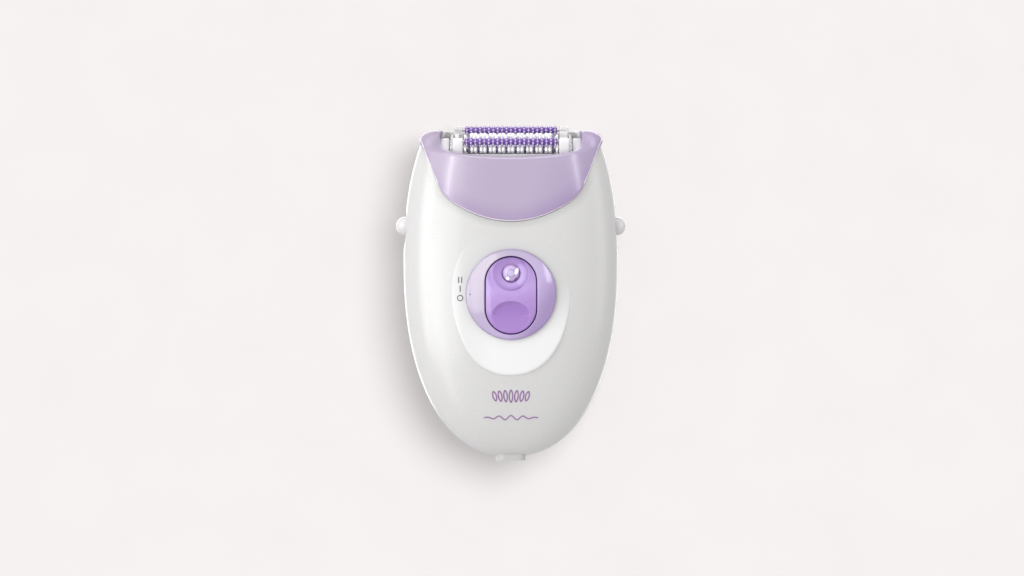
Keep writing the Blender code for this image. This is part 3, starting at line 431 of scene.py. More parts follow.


# painted glints on the lens: offset from the lens centre (x, z), half sizes (mm), turn (radians),
# whether it is bright
LENS_GLINTS = [
    ((1.95, 0.75), (0.60, 1.30), -0.42, True),
    ((-1.15, -1.75), (0.62, 0.62), 0.3, True),
    ((1.55, -1.95), (0.28, 0.8), -0.7, False),
]


def paint_lens_glints(material):
    """Painted highlights: two bright glints and a dark painted reflection on the dome."""
    glint_color, dark_reflection_color = (1.0, 0.97, 1.0), (0.26, 0.13, 0.42)
    nodes = Nodes(material)
    color = nodes.base_color()
    coords = nodes.coords()
    glint_masks = []
    for (x, z), (half_x, half_z), turn, bright in LENS_GLINTS:
        placed = nodes.add(
            "Mapping", Vector=coords, Location=(x * MM, 0.0, (LENS_Z + z) * MM),
            Rotation=(0.0, -turn, 0.0), Scale=(half_x * MM, 1.0, half_z * MM))
        placed.vector_type = "TEXTURE"
        flat = nodes.vector("MULTIPLY", placed.outputs["Vector"], (1.0, 0.0, 1.0))
        spot = nodes.remap(nodes.vector("LENGTH", flat), (1.0, 0.0), (0.7, 1.15))
        color = nodes.mix(spot, color, glint_color if bright else dark_reflection_color)
        if bright:
            glint_masks.append(spot)
    # the painted highlights also glow a little
    strength = nodes.maths("MULTIPLY", nodes.maths("MAXIMUM", *glint_masks), 0.35)
    nodes.bsdf(Base_Color=color, Emission_Color=glint_color, Emission_Strength=strength)


# ---------------------------------------------------------------- materials
PEARL_GREY = (0.70, 0.70, 0.695)
PEARL = pearl("pearl_casing", PEARL_GREY, 0.30, coat=0.6)
PEARL_BUTTON = pearl("pearl_button", (0.78, 0.77, 0.77), 0.2, coat=0.6)
PANEL = pearl("gloss_panel", (0.93, 0.93, 0.93), 0.14, flake=0.02, coat=0.8,
              above=(44.0, 62.0, PEARL_GREY))
# painted highlight: pale colour for the bead line along the cover's lower edge
RIM_HIGHLIGHT = plastic("lilac_rim_highlight", (0.86, 0.80, 0.88), 0.25, tint=0.02, scatter=0.2, coat=0.3)
REAR_COVER = pearl("pearl_rear_cover", (0.78, 0.78, 0.775), 0.3)
# painted shade: the cover's colour deepens towards its lower right, and a little towards its left
LILAC = graded(
    "lilac_cover",
    [(0.0, (0.455, 0.385, 0.52)), (0.3, (0.48, 0.405, 0.55)), (0.6, (0.495, 0.42, 0.575)),
     (1.0, (0.42, 0.33, 0.53))],
    origin=(0, 0, 96), reach=(-26, 30), along=(0.93, 0.0, -0.36),
    rough=0.30, scatter=0.12, coat=0.4, coat_rough=0.16)
# painted shade along the cover's lower edge, on the cover and on the casing just below it
paint_edge_shade(LILAC, (0.84, 0.77, 0.90), to=(1.0, 0.0), span=(0.0, 6.0))
paint_edge_shade(PEARL, (0.78, 0.78, 0.78), to=(0.0, 1.0), span=(-2.8, 0.0))
# painted light and shade: the ring is palest up on the left and darkest down on the right
RING = graded(
    "knob_ring",
    [(0.12, (0.575, 0.51, 0.63)), (0.28, (0.53, 0.46, 0.63)), (0.70, (0.61, 0.49, 0.79)),
     (0.92, (0.45, 0.33, 0.62))],
    origin=(0, 0, KNOB_Z), reach=(-15, 15), along=(0.86, 0.0, -0.5),
    rough=0.14, scatter=0.2, coat=0.7, coat_rough=0.06)
RING_EDGE = plastic("knob_ring_edge", (0.42, 0.33, 0.60), 0.3, tint=0.05, scatter=0.2, coat=0.4)
# painted sheen: a pale band across the middle, deeper purple above and below
INSERT = graded(
    "insert_tint",
    [(0.0, (0.40, 0.25, 0.60)), (0.42, (0.54, 0.38, 0.77)), (0.6, (0.49, 0.31, 0.70)),
     (1.0, (0.43, 0.25, 0.65))],
    origin=(0, 0, INSERT_Z), reach=(-13, 13), along=(0.1, 0.0, -1.0),
    rough=0.16, scatter=0.2, coat=0.7)
# painted shade in the thumb dish and round the lens
paint_insert_shade(INSERT)
# painted shade: dark colour for the groove round the insert
GROOVE_SHADE = plastic("groove_shadow", (0.05, 0.018, 0.10), 0.7, tint=0.2, specular=0.1)
LENS = graded(
    "lens_clear",
    [(0.0, (0.62, 0.57, 0.82)), (0.28, (0.60, 0.55, 0.80)), (0.40, (0.44, 0.32, 0.60)),
     (0.52, (0.62, 0.50, 0.78)), (0.78, (0.62, 0.47, 0.78)), (0.93, (0.45, 0.31, 0.63)),
     (1.0, (0.44, 0.30, 0.62))],
    origin=(0.0, 0.0, LENS_Z), reach=(0.0, 3.2), across=(1.0, 0.0, 1.0),
    rough=0.05, scatter=0.1, coat=1.0, coat_rough=0.02)
tint_panel(PANEL)
# painted highlights on the lens
paint_lens_glints(LENS)
LAMP = plastic("lamp_body", (0.80, 0.80, 0.93), 0.2, tint=0.03, scatter=0.3, coat=0.6)
MARK = plastic("print_grey", (0.11, 0.09, 0.13), 0.5, tint=0.1)
MAUVE = plastic("print_mauve", (0.36, 0.20, 0.42), 0.45, tint=0.1)
STEEL = plastic("steel_ground", (0.72, 0.72, 0.73), 0.22, tint=0.06, grain=260.0, metal=1.0,
                stretch=(1, 8, 1), bump=0.05)
BLADE = plastic("tweezer_steel", (0.93, 0.93, 0.93), 0.28, metal=0.3, stretch=(0.3, 1, 1),
                bump=0.04)
FIN = plastic("fin_white", (0.84, 0.83, 0.86), 0.3, scatter=0.2)
HUB = plastic("hub_purple", (0.22, 0.17, 0.32), 0.3, tint=0.1, coat=0.3)
BRASS = plastic("brass_turned", (0.78, 0.60, 0.30), 0.24, tint=0.08, grain=500.0, metal=1.0,
                stretch=(6, 1, 1), bump=0.05)
ACETAL = plastic("acetal_natural", (0.82, 0.815, 0.79), 0.42, scatter=0.15)
BLOCK = plastic("end_block_white", (0.78, 0.77, 0.79), 0.25, tint=0.02, scatter=0.15, coat=0.3)
CLEAR = plastic("clear_moulding", (0.93, 0.93, 0.94), 0.12, tint=0.02, clear=0.6, bump=0.01,
                rough_spread=0.03, ior=1.15)
CAPS = plastic("bearing_cap_grey", (0.70, 0.68, 0.72), 0.35, tint=0.03, scatter=0.1)
BOARD = plastic("board_green", (0.03, 0.16, 0.08), 0.38, tint=0.3, grain=400.0, coat=0.4)
DARK = plastic("dark_moulding", (0.045, 0.045, 0.05), 0.5, tint=0.2, bump=0.1)
GREY = plastic("chassis_grey", (0.33, 0.33, 0.35), 0.5, tint=0.1, bump=0.15)
RED_WIRE = plastic("wire_red", (0.45, 0.02, 0.02), 0.45, tint=0.15)
BLACK_WIRE = plastic("wire_black", (0.02, 0.02, 0.022), 0.45, tint=0.3)
SOCKET = plastic("socket_rim", (0.58, 0.57, 0.57), 0.3)


# ---------------------------------------------------------------- mesh helpers
# A shape is a pair: points in mm, and faces as lists of point numbers.
def build(name, shape, material, body=None, replaces=(), sharp=40.0, merge=1e-5):
    """An object from a shape: doubles merged, normals outward, smooth up to a crease angle."""
    verts, faces = shape
    mesh = bpy.data.meshes.new(name)
    mesh.from_pydata((np.asarray(verts, float) * MM).tolist(), [], [tuple(f) for f in faces])
    bm = bmesh.new()
    bm.from_mesh(mesh)
    bmesh.ops.remove_doubles(bm, verts=bm.verts, dist=merge * MM)
    bmesh.ops.dissolve_degenerate(bm, edges=bm.edges, dist=merge * MM)
    bmesh.ops.recalc_face_normals(bm, faces=bm.faces)
    bm.to_mesh(mesh)
    bm.free()
    ob = bpy.data.objects.new(name, mesh)
    bpy.context.scene.collection.objects.link(ob)
    dress(ob, material, sharp)
    if body:
        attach(ob, body)
    if replaces:
        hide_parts(*replaces)
    return ob


def dress(ob, material, sharp):
    ob.data.materials.clear()
    ob.data.materials.append(material)
    ob.data.shade_smooth()
    ob.data.set_sharp_from_angle(angle=math.radians(sharp))


def lofted(loops, ends=False, ring=False):
    """Closed loops (K, M, 3) joined in turn; capped at the ends, or the last to the first."""
    loops = np.asarray(loops, float)
    index = np.arange(loops.shape[0] * loops.shape[1]).reshape(loops.shape[:2])
    here, after = index, np.roll(index, -1, 0)
    if not ring:
        here, after = here[:-1], after[:-1]
    quads = np.stack([here, np.roll(here, -1, 1), np.roll(after, -1, 1), after], -1)
    faces = quads.reshape(-1, 4).tolist()
    if ends:
        faces += [index[0][::-1].tolist(), index[-1].tolist()]
    return loops.reshape(-1, 3), faces


def swept(sections):
    """Sections of an outer column and an inner one back; quads join the two at the ends."""
    verts, faces = lofted(sections)
    count, size = np.shape(sections)[:2]
    i = np.arange(size // 2 - 1)
    cap = np.stack([i, size - 1 - i, size - 2 - i, i + 1], -1)
    for section in (0, count - 1):
        faces += (cap + section * size).tolist()
    return verts, faces


def turned(profile, axis, centre, count=72, phase=0.0):
    """A closed (place along the axis, radius) profile turned about an axis "x" or "y"."""
    profile = np.asarray(profile, float)
    size = len(profile)
    angles = phase + 2 * np.pi * np.arange(count) / count
    along = np.broadcast_to(profile[:, 0], (count, size))
    first = centre[0] + profile[:, 1] * np.cos(angles)[:, None]
    up = centre[1] + profile[:, 1] * np.sin(angles)[:, None]
    places = {"x": (along, first, up), "y": (first, along, up)}[axis]
    index = np.arange(count * size).reshape(count, size)
    faces = []
    for i in range(size):
        j = (i + 1) % size
        if max(profile[i, 1], profile[j, 1]) > 1e-6:
            near, far = index[:, i], index[:, j]
            faces += np.stack([near, far, np.roll(far, -1), np.roll(near, -1)], -1).tolist()
    return np.stack(places, -1).reshape(-1, 3), faces


def plate(edge, rings, height, under, centre_z, count):
    """A plate over (x, z): rings of its face out from the centre, then of its underside back."""
    edge_x, edge_z_ = edge(2 * np.pi * np.arange(count) / count)
    loops = []
    for surface, shares_out in ((height, rings), (under, (1.0, 0.5, 0.0))):
        for rho in shares_out:
            x = rho * edge_x
            z = centre_z + rho * (edge_z_ - centre_z)
            loops.append(np.stack([x, surface(x, z, rho), z], -1))
    return lofted(loops)


def cut(ob, cutter):
    """Take the cutter away from the object."""
    modifier = ob.modifiers.new("cut", "BOOLEAN")
    modifier.operation = "DIFFERENCE"
    modifier.solver = "EXACT"
    modifier.object = cutter
    graph = bpy.context.evaluated_depsgraph_get()
    mesh = bpy.data.meshes.new_from_object(ob.evaluated_get(graph))
    ob.modifiers.clear()
    material = ob.data.materials[0]
    ob.data = mesh
    for polygon in mesh.polygons:
        polygon.material_index = 0
    dress(ob, material, 30.0)
    bpy.data.objects.remove(cutter, do_unlink=True)


def opening_to_body(points):
    """(x, v, u) on the axes of the tilted working opening, to (x, y, z)."""
    points = np.asarray(points, float)
    v, u = points[..., 1], points[..., 2]
    y = BARREL_Y + v * -math.cos(TILT) + u * -math.sin(TILT)
    z = BARREL_Z + v * -math.sin(TILT) + u * math.cos(TILT)
    return np.stack([points[..., 0], y, z], -1)


def shape_of(bm):
    verts = np.array([vert.co for vert in bm.verts])
    faces = [[vert.index for vert in face.verts] for face in bm.faces]
    bm.free()
    return verts, faces


def rounded_block(x_range, v_range, u_range, edge):
    """A block with rounded edges on the working opening's own axes."""
    bm = bmesh.new()
    bmesh.ops.create_cube(bm, size=1.0)
    for vert in bm.verts:
        vert.co = [span[0] if c < 0 else span[1]
                   for c, span in zip(vert.co, (x_range, v_range, u_range))]
    bmesh.ops.bevel(bm, geom=bm.edges[:], offset=edge, segments=3, profile=0.5, affect="EDGES")
    verts, faces = shape_of(bm)
    return opening_to_body(verts), faces


def merged(shapes):
    all_verts, all_faces, base = [], [], 0
    for verts, faces in shapes:
        all_verts.append(np.asarray(verts))
        all_faces += [[i + base for i in face] for face in faces]
        base += len(verts)
    return np.concatenate(all_verts), all_faces


def side_by_side(count, *parts):
    """Blocks of columns joined, each spread over the same number of rows."""
    return np.concatenate([np.broadcast_to(p, (count, np.shape(p)[-1])) for p in parts], 1)


# ---------------------------------------------------------------- casing
def shell_sections(angles, seam):
    """Wall sections with a rounded upper rim and softened parting edges."""
    across, forward = (share[:, None] for share in shares(angles))
    top = edge_z(angles)[:, None] - 0.1
    turn = np.radians(90 * (1 - np.arange(30) / 29.0))
    climb = np.arange(1, 27) / 26.0
    from_parting = np.minimum(np.abs(angles - angles[0]), np.abs(angles - angles[-1]))[:, None]
    soft = 0.20 * (1 - smooth01(from_parting / 1.6))

    def column(wall, rim_drops, rim_insets, more=0.0):
        low = MID_Z - (HALF_HEIGHT - wall) * np.sin(turn) ** (2 / OUTLINE_POWER)
        straight = MID_Z + (top - 0.7 - MID_Z) * climb
        z = side_by_side(len(angles), low, straight, top - np.array(rim_drops))
        inset = np.concatenate([np.full(len(turn) + len(climb), wall),
                                wall + np.array(rim_insets)])
        return skin(across, forward, z, inset + more)

    outer = column(0.0, (0.2, 0.06, 0.0), (0.0, 0.05, 0.2), soft)
    inner = column(WALL, (0.35, 0.12, 0.0), (-0.02, -0.1, -0.3))
    sections = np.concatenate([outer, inner[:, ::-1]], 1)
    sections[..., 1] = seam + sections[..., 1] * (1 - seam / REAR_FLAT)
    return sections


def side_cutter(side):
    """The hole for a side button, with a shallow spherical dish round it."""
    radius, depth = 20.0, 1.5
    hole = BUTTON_R + 0.22
    centre = float(half_width(BUTTON_Z)) + radius - depth
    angles = np.radians(np.linspace(9.9, 30, 16))
    profile = [(30.0, 0.0), (30.0, hole), (centre - radius * math.cos(angles[0]) - 0.12, hole)]
    profile += [(centre - radius * math.cos(a), radius * math.sin(a)) for a in angles]
    profile += [(centre + 2, profile[-1][1]), (centre + 2, 0.0)]
    sided = [(side * x, r) for x, r in profile]
    return build("cutter", turned(sided, "x", (0.0, BUTTON_Z), 96, 0.03), PEARL)


def socket_cutter():
    """The rounded opening in the bottom end."""
    gap = 0.16
    angles = 2 * np.pi * np.arange(64) / 64
    x = (5.15 + gap) * signed_power(np.cos(angles), 0.62)
    y = (3.9 + gap) * signed_power(np.sin(angles), 0.62)
    loops = [np.stack([x, y, np.full(64, z)], -1) for z in (-5.0, 20.0)]
    return build("cutter", lofted(loops, ends=True), PEARL)


for name, start, seam, node in (("casing_front", 0, 0.0, "front_shell"),
                                ("casing_rear", 180, 0.12, "rear_shell")):
    sections = shell_sections(np.linspace(start, start + 180, 133), seam)
    casing = build(name, swept(sections), PEARL, "housing", (node,), 30.0)
    for side in (-1, 1):
        cut(casing, side_cutter(side))
    cut(casing, socket_cutter())
    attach(casing, "housing")


# ---------------------------------------------------------------- glossy panel
def panel_edge(angles):
    reach = np.where(np.sin(angles) > 0, PANEL_UP, PANEL_DOWN)
    return (PANEL_HALF_X * signed_power(np.cos(angles), 2 / PANEL_POWER),
            PANEL_Z + reach * signed_power(np.sin(angles), 2 / PANEL_POWER))


def panel_swell(z):
    """How much prouder of the casing the panel grows towards its lower end."""
    return 0.78 * smooth01((60.0 - z) / 26.0)


PANEL_SPAN = 24.0           # nominal distance from centre to edge
PANEL_ROUND = 0.9           # width of the rounded edge


def panel_face(x, z, rho):
    inland = (1.0 - rho) * PANEL_SPAN
    lift = (0.02 + panel_swell(z)) * quarter_round(inland / PANEL_ROUND)
    return front_y(x, z) - lift + 0.01 * (inland <= 0)


rings = [0.0, 0.15, 0.3, 0.45, 0.6, 0.7, 0.8, 0.88, 0.93, 0.955]
rings += [1 - PANEL_ROUND / PANEL_SPAN * k
          for k in (1.0, 0.8, 0.6, 0.45, 0.3, 0.2, 0.12, 0.06, 0.02, 0.0)]
panel = plate(panel_edge, rings, panel_face, lambda x, z, rho: front_y(x, z) + 0.5, PANEL_Z, 200)
build("panel_gloss", panel, PANEL, "housing", ("front_inlay",), 60.0)


# ---------------------------------------------------------------- switch
KNOB_COUNT = 220
knob_angles = 2 * np.pi * np.arange(KNOB_COUNT) / KNOB_COUNT


def knob_under(x):
    section = (1 - (np.abs(x) / HALF_WIDTH) ** SECTION_POWER) ** (1 / SECTION_POWER)
    return -(FRONT_DEPTH + 0.6) + FRONT_DEPTH * (1 - section)


def knob_top(x, z):
    rho = np.minimum(1.0, np.hypot(x, z - KNOB_Z) / KNOB_R)
    return knob_under(x) - 0.5 - 2.7 * (1 - rho ** 2.4)


def stadium(grow):
    """The insert's upright stadium outline, grown by an offset, as a function of the angle."""
    def edge(angles):
        cos, sin = np.cos(angles), np.sin(angles)
        radius, half_straight = INSERT_HALF_X + grow, INSERT_HALF_Z - INSERT_HALF_X
        reach = radius / np.maximum(np.abs(cos), 1e-9)
        lean = np.abs(sin) * half_straight
        root = np.sqrt(np.maximum(0.0, lean * lean - half_straight ** 2 + radius * radius))
        reach = np.where(reach * np.abs(sin) > half_straight, lean + root, reach)
        return reach * cos, INSERT_Z + reach * sin
    return edge


def knob_ring():
    """The round knob's outer ring, from the stadium opening to the rim."""
    inner_x, inner_z = stadium(0.24)(knob_angles)
    # the rim's points lie in the same directions from the knob's centre as the opening's
    directions = np.arctan2(inner_z - KNOB_Z, inner_x)
    rim_x = KNOB_R * np.cos(directions)
    rim_z = KNOB_Z + KNOB_R * np.sin(directions)
    loops = []
    # share of the way to the rim, drop below the top: the opening's wall and rounded edge
    stations = [(0.0, 3.2), (0.0, 0.45), (0.004, 0.2), (0.02, 0.06), (0.05, 0.0)]
    stations += [(t, 0.0) for t in np.linspace(0.1, 0.94, 16)]
    for t, drop in stations:
        x = inner_x + (rim_x - inner_x) * t
        z = inner_z + (rim_z - inner_z) * t
        loops.append(np.stack([x, np.minimum(knob_top(x, z) + drop, knob_under(x)), z], -1))
    # share of the radius, drop: the rounded rim
    for share, drop in ((0.965, 0.02), (0.985, 0.12), (0.996, 0.28), (1.0, 0.5)):
        x = KNOB_R * share * np.cos(directions)
        z = KNOB_Z + KNOB_R * share * np.sin(directions)
        y = np.minimum(knob_top(x, z) + drop * 0.7, knob_under(x))
        loops.append(np.stack([x, y, z], -1))
    foot_z = KNOB_Z + (rim_z - KNOB_Z) * 0.995
    loops.append(np.stack([rim_x * 0.995, knob_under(rim_x), foot_z], -1))
    return lofted(loops, ring=True)


ring = build("knob_ring", knob_ring(), RING, "switch", ("switch_knob",), 50.0)
ring.data.materials.append(RING_EDGE)
for polygon in ring.data.polygons:
    if math.hypot(polygon.center.x, polygon.center.z - KNOB_Z * MM) > 15.2 * MM:
        polygon.material_index = 1


def insert_face(x, z, rho):
    """The insert's face: a thumb dish below, and steps and a cone sinking to the lens."""
    y = knob_top(x, z) + 0.22
    upper = z > THUMB_Z
    from_thumb = np.hypot(x / 6.6, (z - THUMB_Z) / np.where(upper, 4.9, 7.4))
    dish = 1 - np.clip(from_thumb, 0, 1) ** np.where(upper, 4.5, 2.2)
    y = y + 1.15 * dish * (0.55 + 0.45 * smooth01((z - THUMB_Z + 7.0) / 11.5))
    from_lens = np.hypot(x, z - LENS_Z)
    y = y + 0.16 * smooth01((8.4 - from_lens) / 1.6) + 0.12 * smooth01((6.3 - from_lens) / 0.5)
    y = y + 0.95 * np.clip((6.0 - from_lens) / 2.7, 0, 1) ** 1.1
    inland = (1.0 - rho) * 11.0
    y = y + 0.32 * (1 - quarter_round(inland / 0.4))
    return np.minimum(y, knob_under(x) - 0.5)


rings = [*np.linspace(0, 0.94, 76), 0.955, 0.966, 0.975, 0.983, 0.989, 0.994, 0.998, 1.0]
insert_plate = plate(stadium(-0.16), rings, insert_face, lambda x, z, rho: knob_under(x),
                     INSERT_Z, KNOB_COUNT)
insert = build("knob_insert", insert_plate, INSERT, "switch",
               ("switch_insert",), 60.0)
lens_hole = [(-25, 0), (-25, LENS_R + 0.1), (-10, LENS_R + 0.1), (-10, 0)]
cut(insert, build("cutter", turned(lens_hole, "y", (0.0, LENS_Z), 64), INSERT))
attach(insert, "switch")


def knob_groove_shade():
    """Painted shade: a dark strip in the groove between ring and insert."""
    inner, outer = stadium(-0.2)(knob_angles), stadium(0.28)(knob_angles)
    loops = []
    for (x, z), drop in ((inner, 2.4), (inner, 0.62), (outer, 0.62), (outer, 2.4)):
        floor = knob_under(x) - 0.05 + 0.02 * (drop > 1)
        loops.append(np.stack([x, np.minimum(knob_top(x, z) + drop, floor), z], -1))
    return lofted(loops, ring=True)


# painted shade in the groove round the insert
build("knob_groove_shade", knob_groove_shade(), GROOVE_SHADE, "switch")

# lens: a dome on a stepped foot
profile = [(-16.9, 0.0), (-16.9, LENS_R + 0.05), (-17.35, LENS_R + 0.05),
           (-17.5, LENS_R - 0.05), (-17.55, LENS_R - 0.2)]
profile += [(-17.6 - 1.9 * math.sin(a), (LENS_R - 0.25) * math.cos(a) ** 0.9)
            for a in np.radians(np.linspace(0, 90, 24))]
build("lens_dome", turned(profile, "y", (0.0, LENS_Z), 80), LENS, "switch",
      ("light_lens",), 35.0)

# index dot on the left of the ring
DOT_X, DOT_Z = -13.9, 57.2
dot_y = float(knob_top(np.array(DOT_X), np.array(DOT_Z)))
profile = [(dot_y + y, radius) for y, radius in
           ((0.3, 0.0), (0.3, 0.26), (-0.03, 0.26), (-0.06, 0.18), (-0.07, 0.0))]
build("index_dot", turned(profile, "y", (DOT_X, DOT_Z), 24), MARK, "switch")


# ---------------------------------------------------------------- printed marks on the casing
def stroke(points, width, closed=False, steps=1):
    """A thin printed line laid on the casing's front or the panel along (x, z) points."""
    below, proud = -0.1, 0.035
    points = np.array(points, float)
    if closed:
        points = np.concatenate([points, points[:1]])
    line = [a + (b - a) * k / steps for a, b in zip(points[:-1], points[1:])
            for k in range(steps)]
    line = np.array(line + [points[-1]])
    direction = np.gradient(line, axis=0)
    if closed:
        direction[0] = direction[-1] = line[1] - line[-2]
    direction /= np.linalg.norm(direction, axis=1)[:, None]
    offset = np.stack([-direction[:, 1], direction[:, 0]], -1) * width / 2
    corners = []
    for side, lift in ((-1, below), (-1, proud), (1, proud), (1, below)):
        x, z = (line + side * offset).T
        on_panel = front_y(x, z) - 0.02 - panel_swell(z) * (z > 29.3)
        beside = (x / PANEL_HALF_X) ** 2 < 1
        base = np.minimum(front_y(x, z), np.where(beside, on_panel, 0))
        corners.append(np.stack([x, base - lift, z], -1))
    return lofted(np.stack(corners, 1), ends=not closed)


# switch marks left of the knob: two bars, one bar, a circle
MARK_X = -17.35
MARK_WIDTH = 0.34
bars = [(MARK_X - 0.52, 61.15, 63.2), (MARK_X + 0.52, 61.15, 63.2), (MARK_X, 58.1, 60.2)]
marks = [stroke([(x, low), (x, high)], MARK_WIDTH, steps=6) for x, low, high in bars]
circle = [(MARK_X + 0.93 * math.cos(t), 55.95 + 0.93 * math.sin(t))
          for t in np.linspace(0, 2 * np.pi, 40, endpoint=False)]
marks.append(stroke(circle, 0.32, closed=True))
build("switch_marks", merged(marks), MARK, "housing", merge=1e-6)


def ripple():
    """A long thin wave that fades out at both ends."""
    half_length, height, waves = 9.3, 0.75, 4.5
    points = []
    for k in range(81):
        swing = math.sin(2 * math.pi * waves * k / 80) * math.sin(math.pi * k / 80)
        points.append((-half_length + 2 * half_length * k / 80, 15.0 + height * swing))
    return stroke(points, 0.46)


def leaf(k):
    """One leaf outline; k counts outward from the middle one and leans it."""
    length = 2.1 * (1 - 0.2 * abs(k) / 3.0)
    lean = 0.28 * k / 3.0
    points = []
    for q in range(40):
        t = 2 * math.pi * q / 40
        up, out = length * math.cos(t), 0.6 * math.sin(t) * abs(math.sin(t)) ** 0.5
        points.append((k * 1.86 + out * math.cos(lean) + up * math.sin(lean),
                       22.4 + up * math.cos(lean) - out * math.sin(lean)))
    return stroke(points, 0.48, closed=True)


# low on the casing: a row of seven leaves over a ripple
build("casing_motif", merged([ripple(), *(leaf(k) for k in range(-3, 4))]), MAUVE, "housing",
      merge=1e-6)

# ---------------------------------------------------------------- release buttons
# (distance from the middle, radius): foot, stem, collar, shaft, then the domed end
button_profile = [(28.9, 0.0), (28.9, 1.35), (29.05, 1.5), (33.0, 1.5), (33.0, 4.4),
                  (33.9, 4.4), (33.9, BUTTON_R), (36.3, BUTTON_R)]
button_profile += [(36.5 + 3.2 * math.sin(a), BUTTON_R * math.cos(a))
                   for a in np.radians(np.linspace(0, 90, 26))]
for side, word in ((-1, "left"), (1, "right")):
    shape = turned([(side * x, radius) for x, radius in button_profile], "x", (0.0, BUTTON_Z))
    build("button_" + word, shape, PEARL_BUTTON, "button_" + word,
          ("release_button_" + word,), 35.0)

# ---------------------------------------------------------------- head covers
# how the front lip climbs from the middle into the two side horns, by share of half width
EAR_SHARES = np.linspace(0.5, 1.0, 101)
ear_climb = np.interp(EAR_SHARES,
                      [0.5, 0.58, 0.66, 0.72, 0.78, 0.84, 0.89, 0.93, 0.96, 1.0],
                      [0, 0.0, 0.02, 0.07, 0.16, 0.28, 0.42, 0.62, 0.86, 1.0])
for _ in range(3):
    padded = np.pad(ear_climb, 3, mode="edge")
    ear_climb[1:-1] = np.convolve(padded, np.ones(7) / 7, "valid")[1:-1]


def lip_height(across, forward):
    across = np.abs(across)
    low = LIP_FRONT + 1.7 * (np.minimum(across, 0.67) / 0.67) ** 2
    front = low + (EAR_TOP - low) * np.interp(across, EAR_SHARES, ear_climb)
    back = LIP_REAR + (EAR_TOP - LIP_REAR) * smooth01((across - 0.45) / 0.4)
    return np.where(forward >= -1e-9, front, back)


def head_sections(angles, proud):
    """Wall sections of a head cover: beaded lower rim, wall, and a lip broader at the horns."""
    count = len(angles)
    across, forward = (share[:, None] for share in shares(angles))
    horn = np.where(forward >= -1e-9, smooth01((np.abs(across) - 0.66) / 0.27),
                    smooth01((np.abs(across) - 0.77) / 0.17))
    outer_reach, inner_reach = 1.1 + 3.1 * horn, 0.8 + 0.3 * horn
    edge = edge_z(angles)[:, None]
    lip = lip_height(across, forward)
    outer_start = np.maximum(lip - (1.2 + 2.2 * horn), edge + 1.2)
    inner_start = np.maximum(lip - (0.8 + 1.4 * horn), edge + 1.0)

    def flare(z):
        return 0.75 * horn * smooth01((z - 103.0) / 8.0)

    bead_height, bead_inset = 0.45, 0.3
    bead = np.radians([0, 30, 60, 90])
    turn = np.radians(np.linspace(0, 90, 16))[1:]
    power = 2 / 2.3
    z = side_by_side(
        count,
        edge + bead_height * (1 - np.cos(bead)),
        edge + bead_height + (outer_start - edge - bead_height) * (np.arange(1, 21) / 20.0),
        outer_start + (lip - outer_start) * np.sin(turn) ** power)
    inset = side_by_side(
        count,
        bead_inset - (bead_inset + proud) * np.sin(bead),
        np.full(20, -proud),
        -proud + (outer_reach + proud) * (1 - np.cos(turn) ** power))
    outer = skin(across, forward, z, inset - flare(z))

    wall_z = edge + (inner_start - edge) * (np.arange(24) / 23.0)
    swell = smooth01((wall_z - inner_start + 6.5) / 6.5)
    z = side_by_side(count, wall_z, inner_start + (lip - inner_start) * np.sin(turn))
    inset = side_by_side(
        count,
        1.9 + (outer_reach + inner_reach - 1.9) * swell,
        outer_reach + inner_reach * np.cos(turn))
    inner = skin(across, forward, z, inset - flare(z))
    return np.concatenate([outer, inner[:, ::-1]], 1)


# the front cover reaches this many degrees round behind the sides
WRAP = 20.0
sections = head_sections(np.linspace(-WRAP, 180 + WRAP, 169), proud=0.32)
cover = build("cover_front", swept(sections), LILAC, "head", ("head_cover_front",), 50.0)
cover.data.materials.append(RIM_HIGHLIGHT)
# painted highlight: a pale line along the lower edge, thinner where the edge is steep
for polygon in cover.data.polygons:
    x, y, z = (c / MM for c in polygon.center)
    slope = 2 * EDGE_BOWL * abs(x) + EDGE_STEEP / (1 + math.exp(EDGE_KNEE - abs(x)))
    inside = (z - float(edge_front(x))) / math.hypot(1, slope)
    if y < 2.0 and -0.1 < inside < 0.42 * (1 - 0.55 * min(1.0, slope / 1.2)):
        polygon.material_index = 1
sections = head_sections(np.linspace(180 + WRAP + 0.5, 360 - WRAP - 0.5, 121), proud=0.12)
build("cover_rear", swept(sections), REAR_COVER, "head", ("head_cover_rear",), 50.0)

# ---------------------------------------------------------------- massage rollers
ROLLER_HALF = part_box("massage_roller_front")[1].x / MM
NUB_RINGS = 21
NUBS_ROUND = 8
# (distance from the roller's axis, radius) up a nub
NUB_STATIONS = ((0.95, 0.60), (1.15, 0.52), (1.45, 0.36), (1.75, 0.20), (1.94, 0.08))


def nub(base, angle):
    axis = np.array((0.0, math.cos(angle), math.sin(angle)))
    along = np.array((1.0, 0, 0))
    side = np.array((0.0, -math.sin(angle), math.cos(angle)))
    loops = [[base + axis * reach + radius * (along * math.cos(q) + side * math.sin(q))
              for q in np.arange(8) * math.pi / 4] for reach, radius in NUB_STATIONS]
    return lofted(loops, ends=True)


def roller(y, z):
    """A core with staggered rings of nubs."""
    half = ROLLER_HALF
    core = [(-half, 0.62), (-half, 0.95), (-half + 0.15, 1.1), (half - 0.15, 1.1),
            (half, 0.95), (half, 0.62)]
    parts = [turned(core, "x", (y, z), 36)]
    for k in range(NUB_RINGS):
        x = -half + 0.75 + (2 * half - 1.5) * k / (NUB_RINGS - 1)
        for j in range(NUBS_ROUND):
            angle = 2 * math.pi * (j + 0.5 * (k % 2)) / NUBS_ROUND
            parts.append(nub(np.array((x, y, z)), angle))
    return merged(parts)


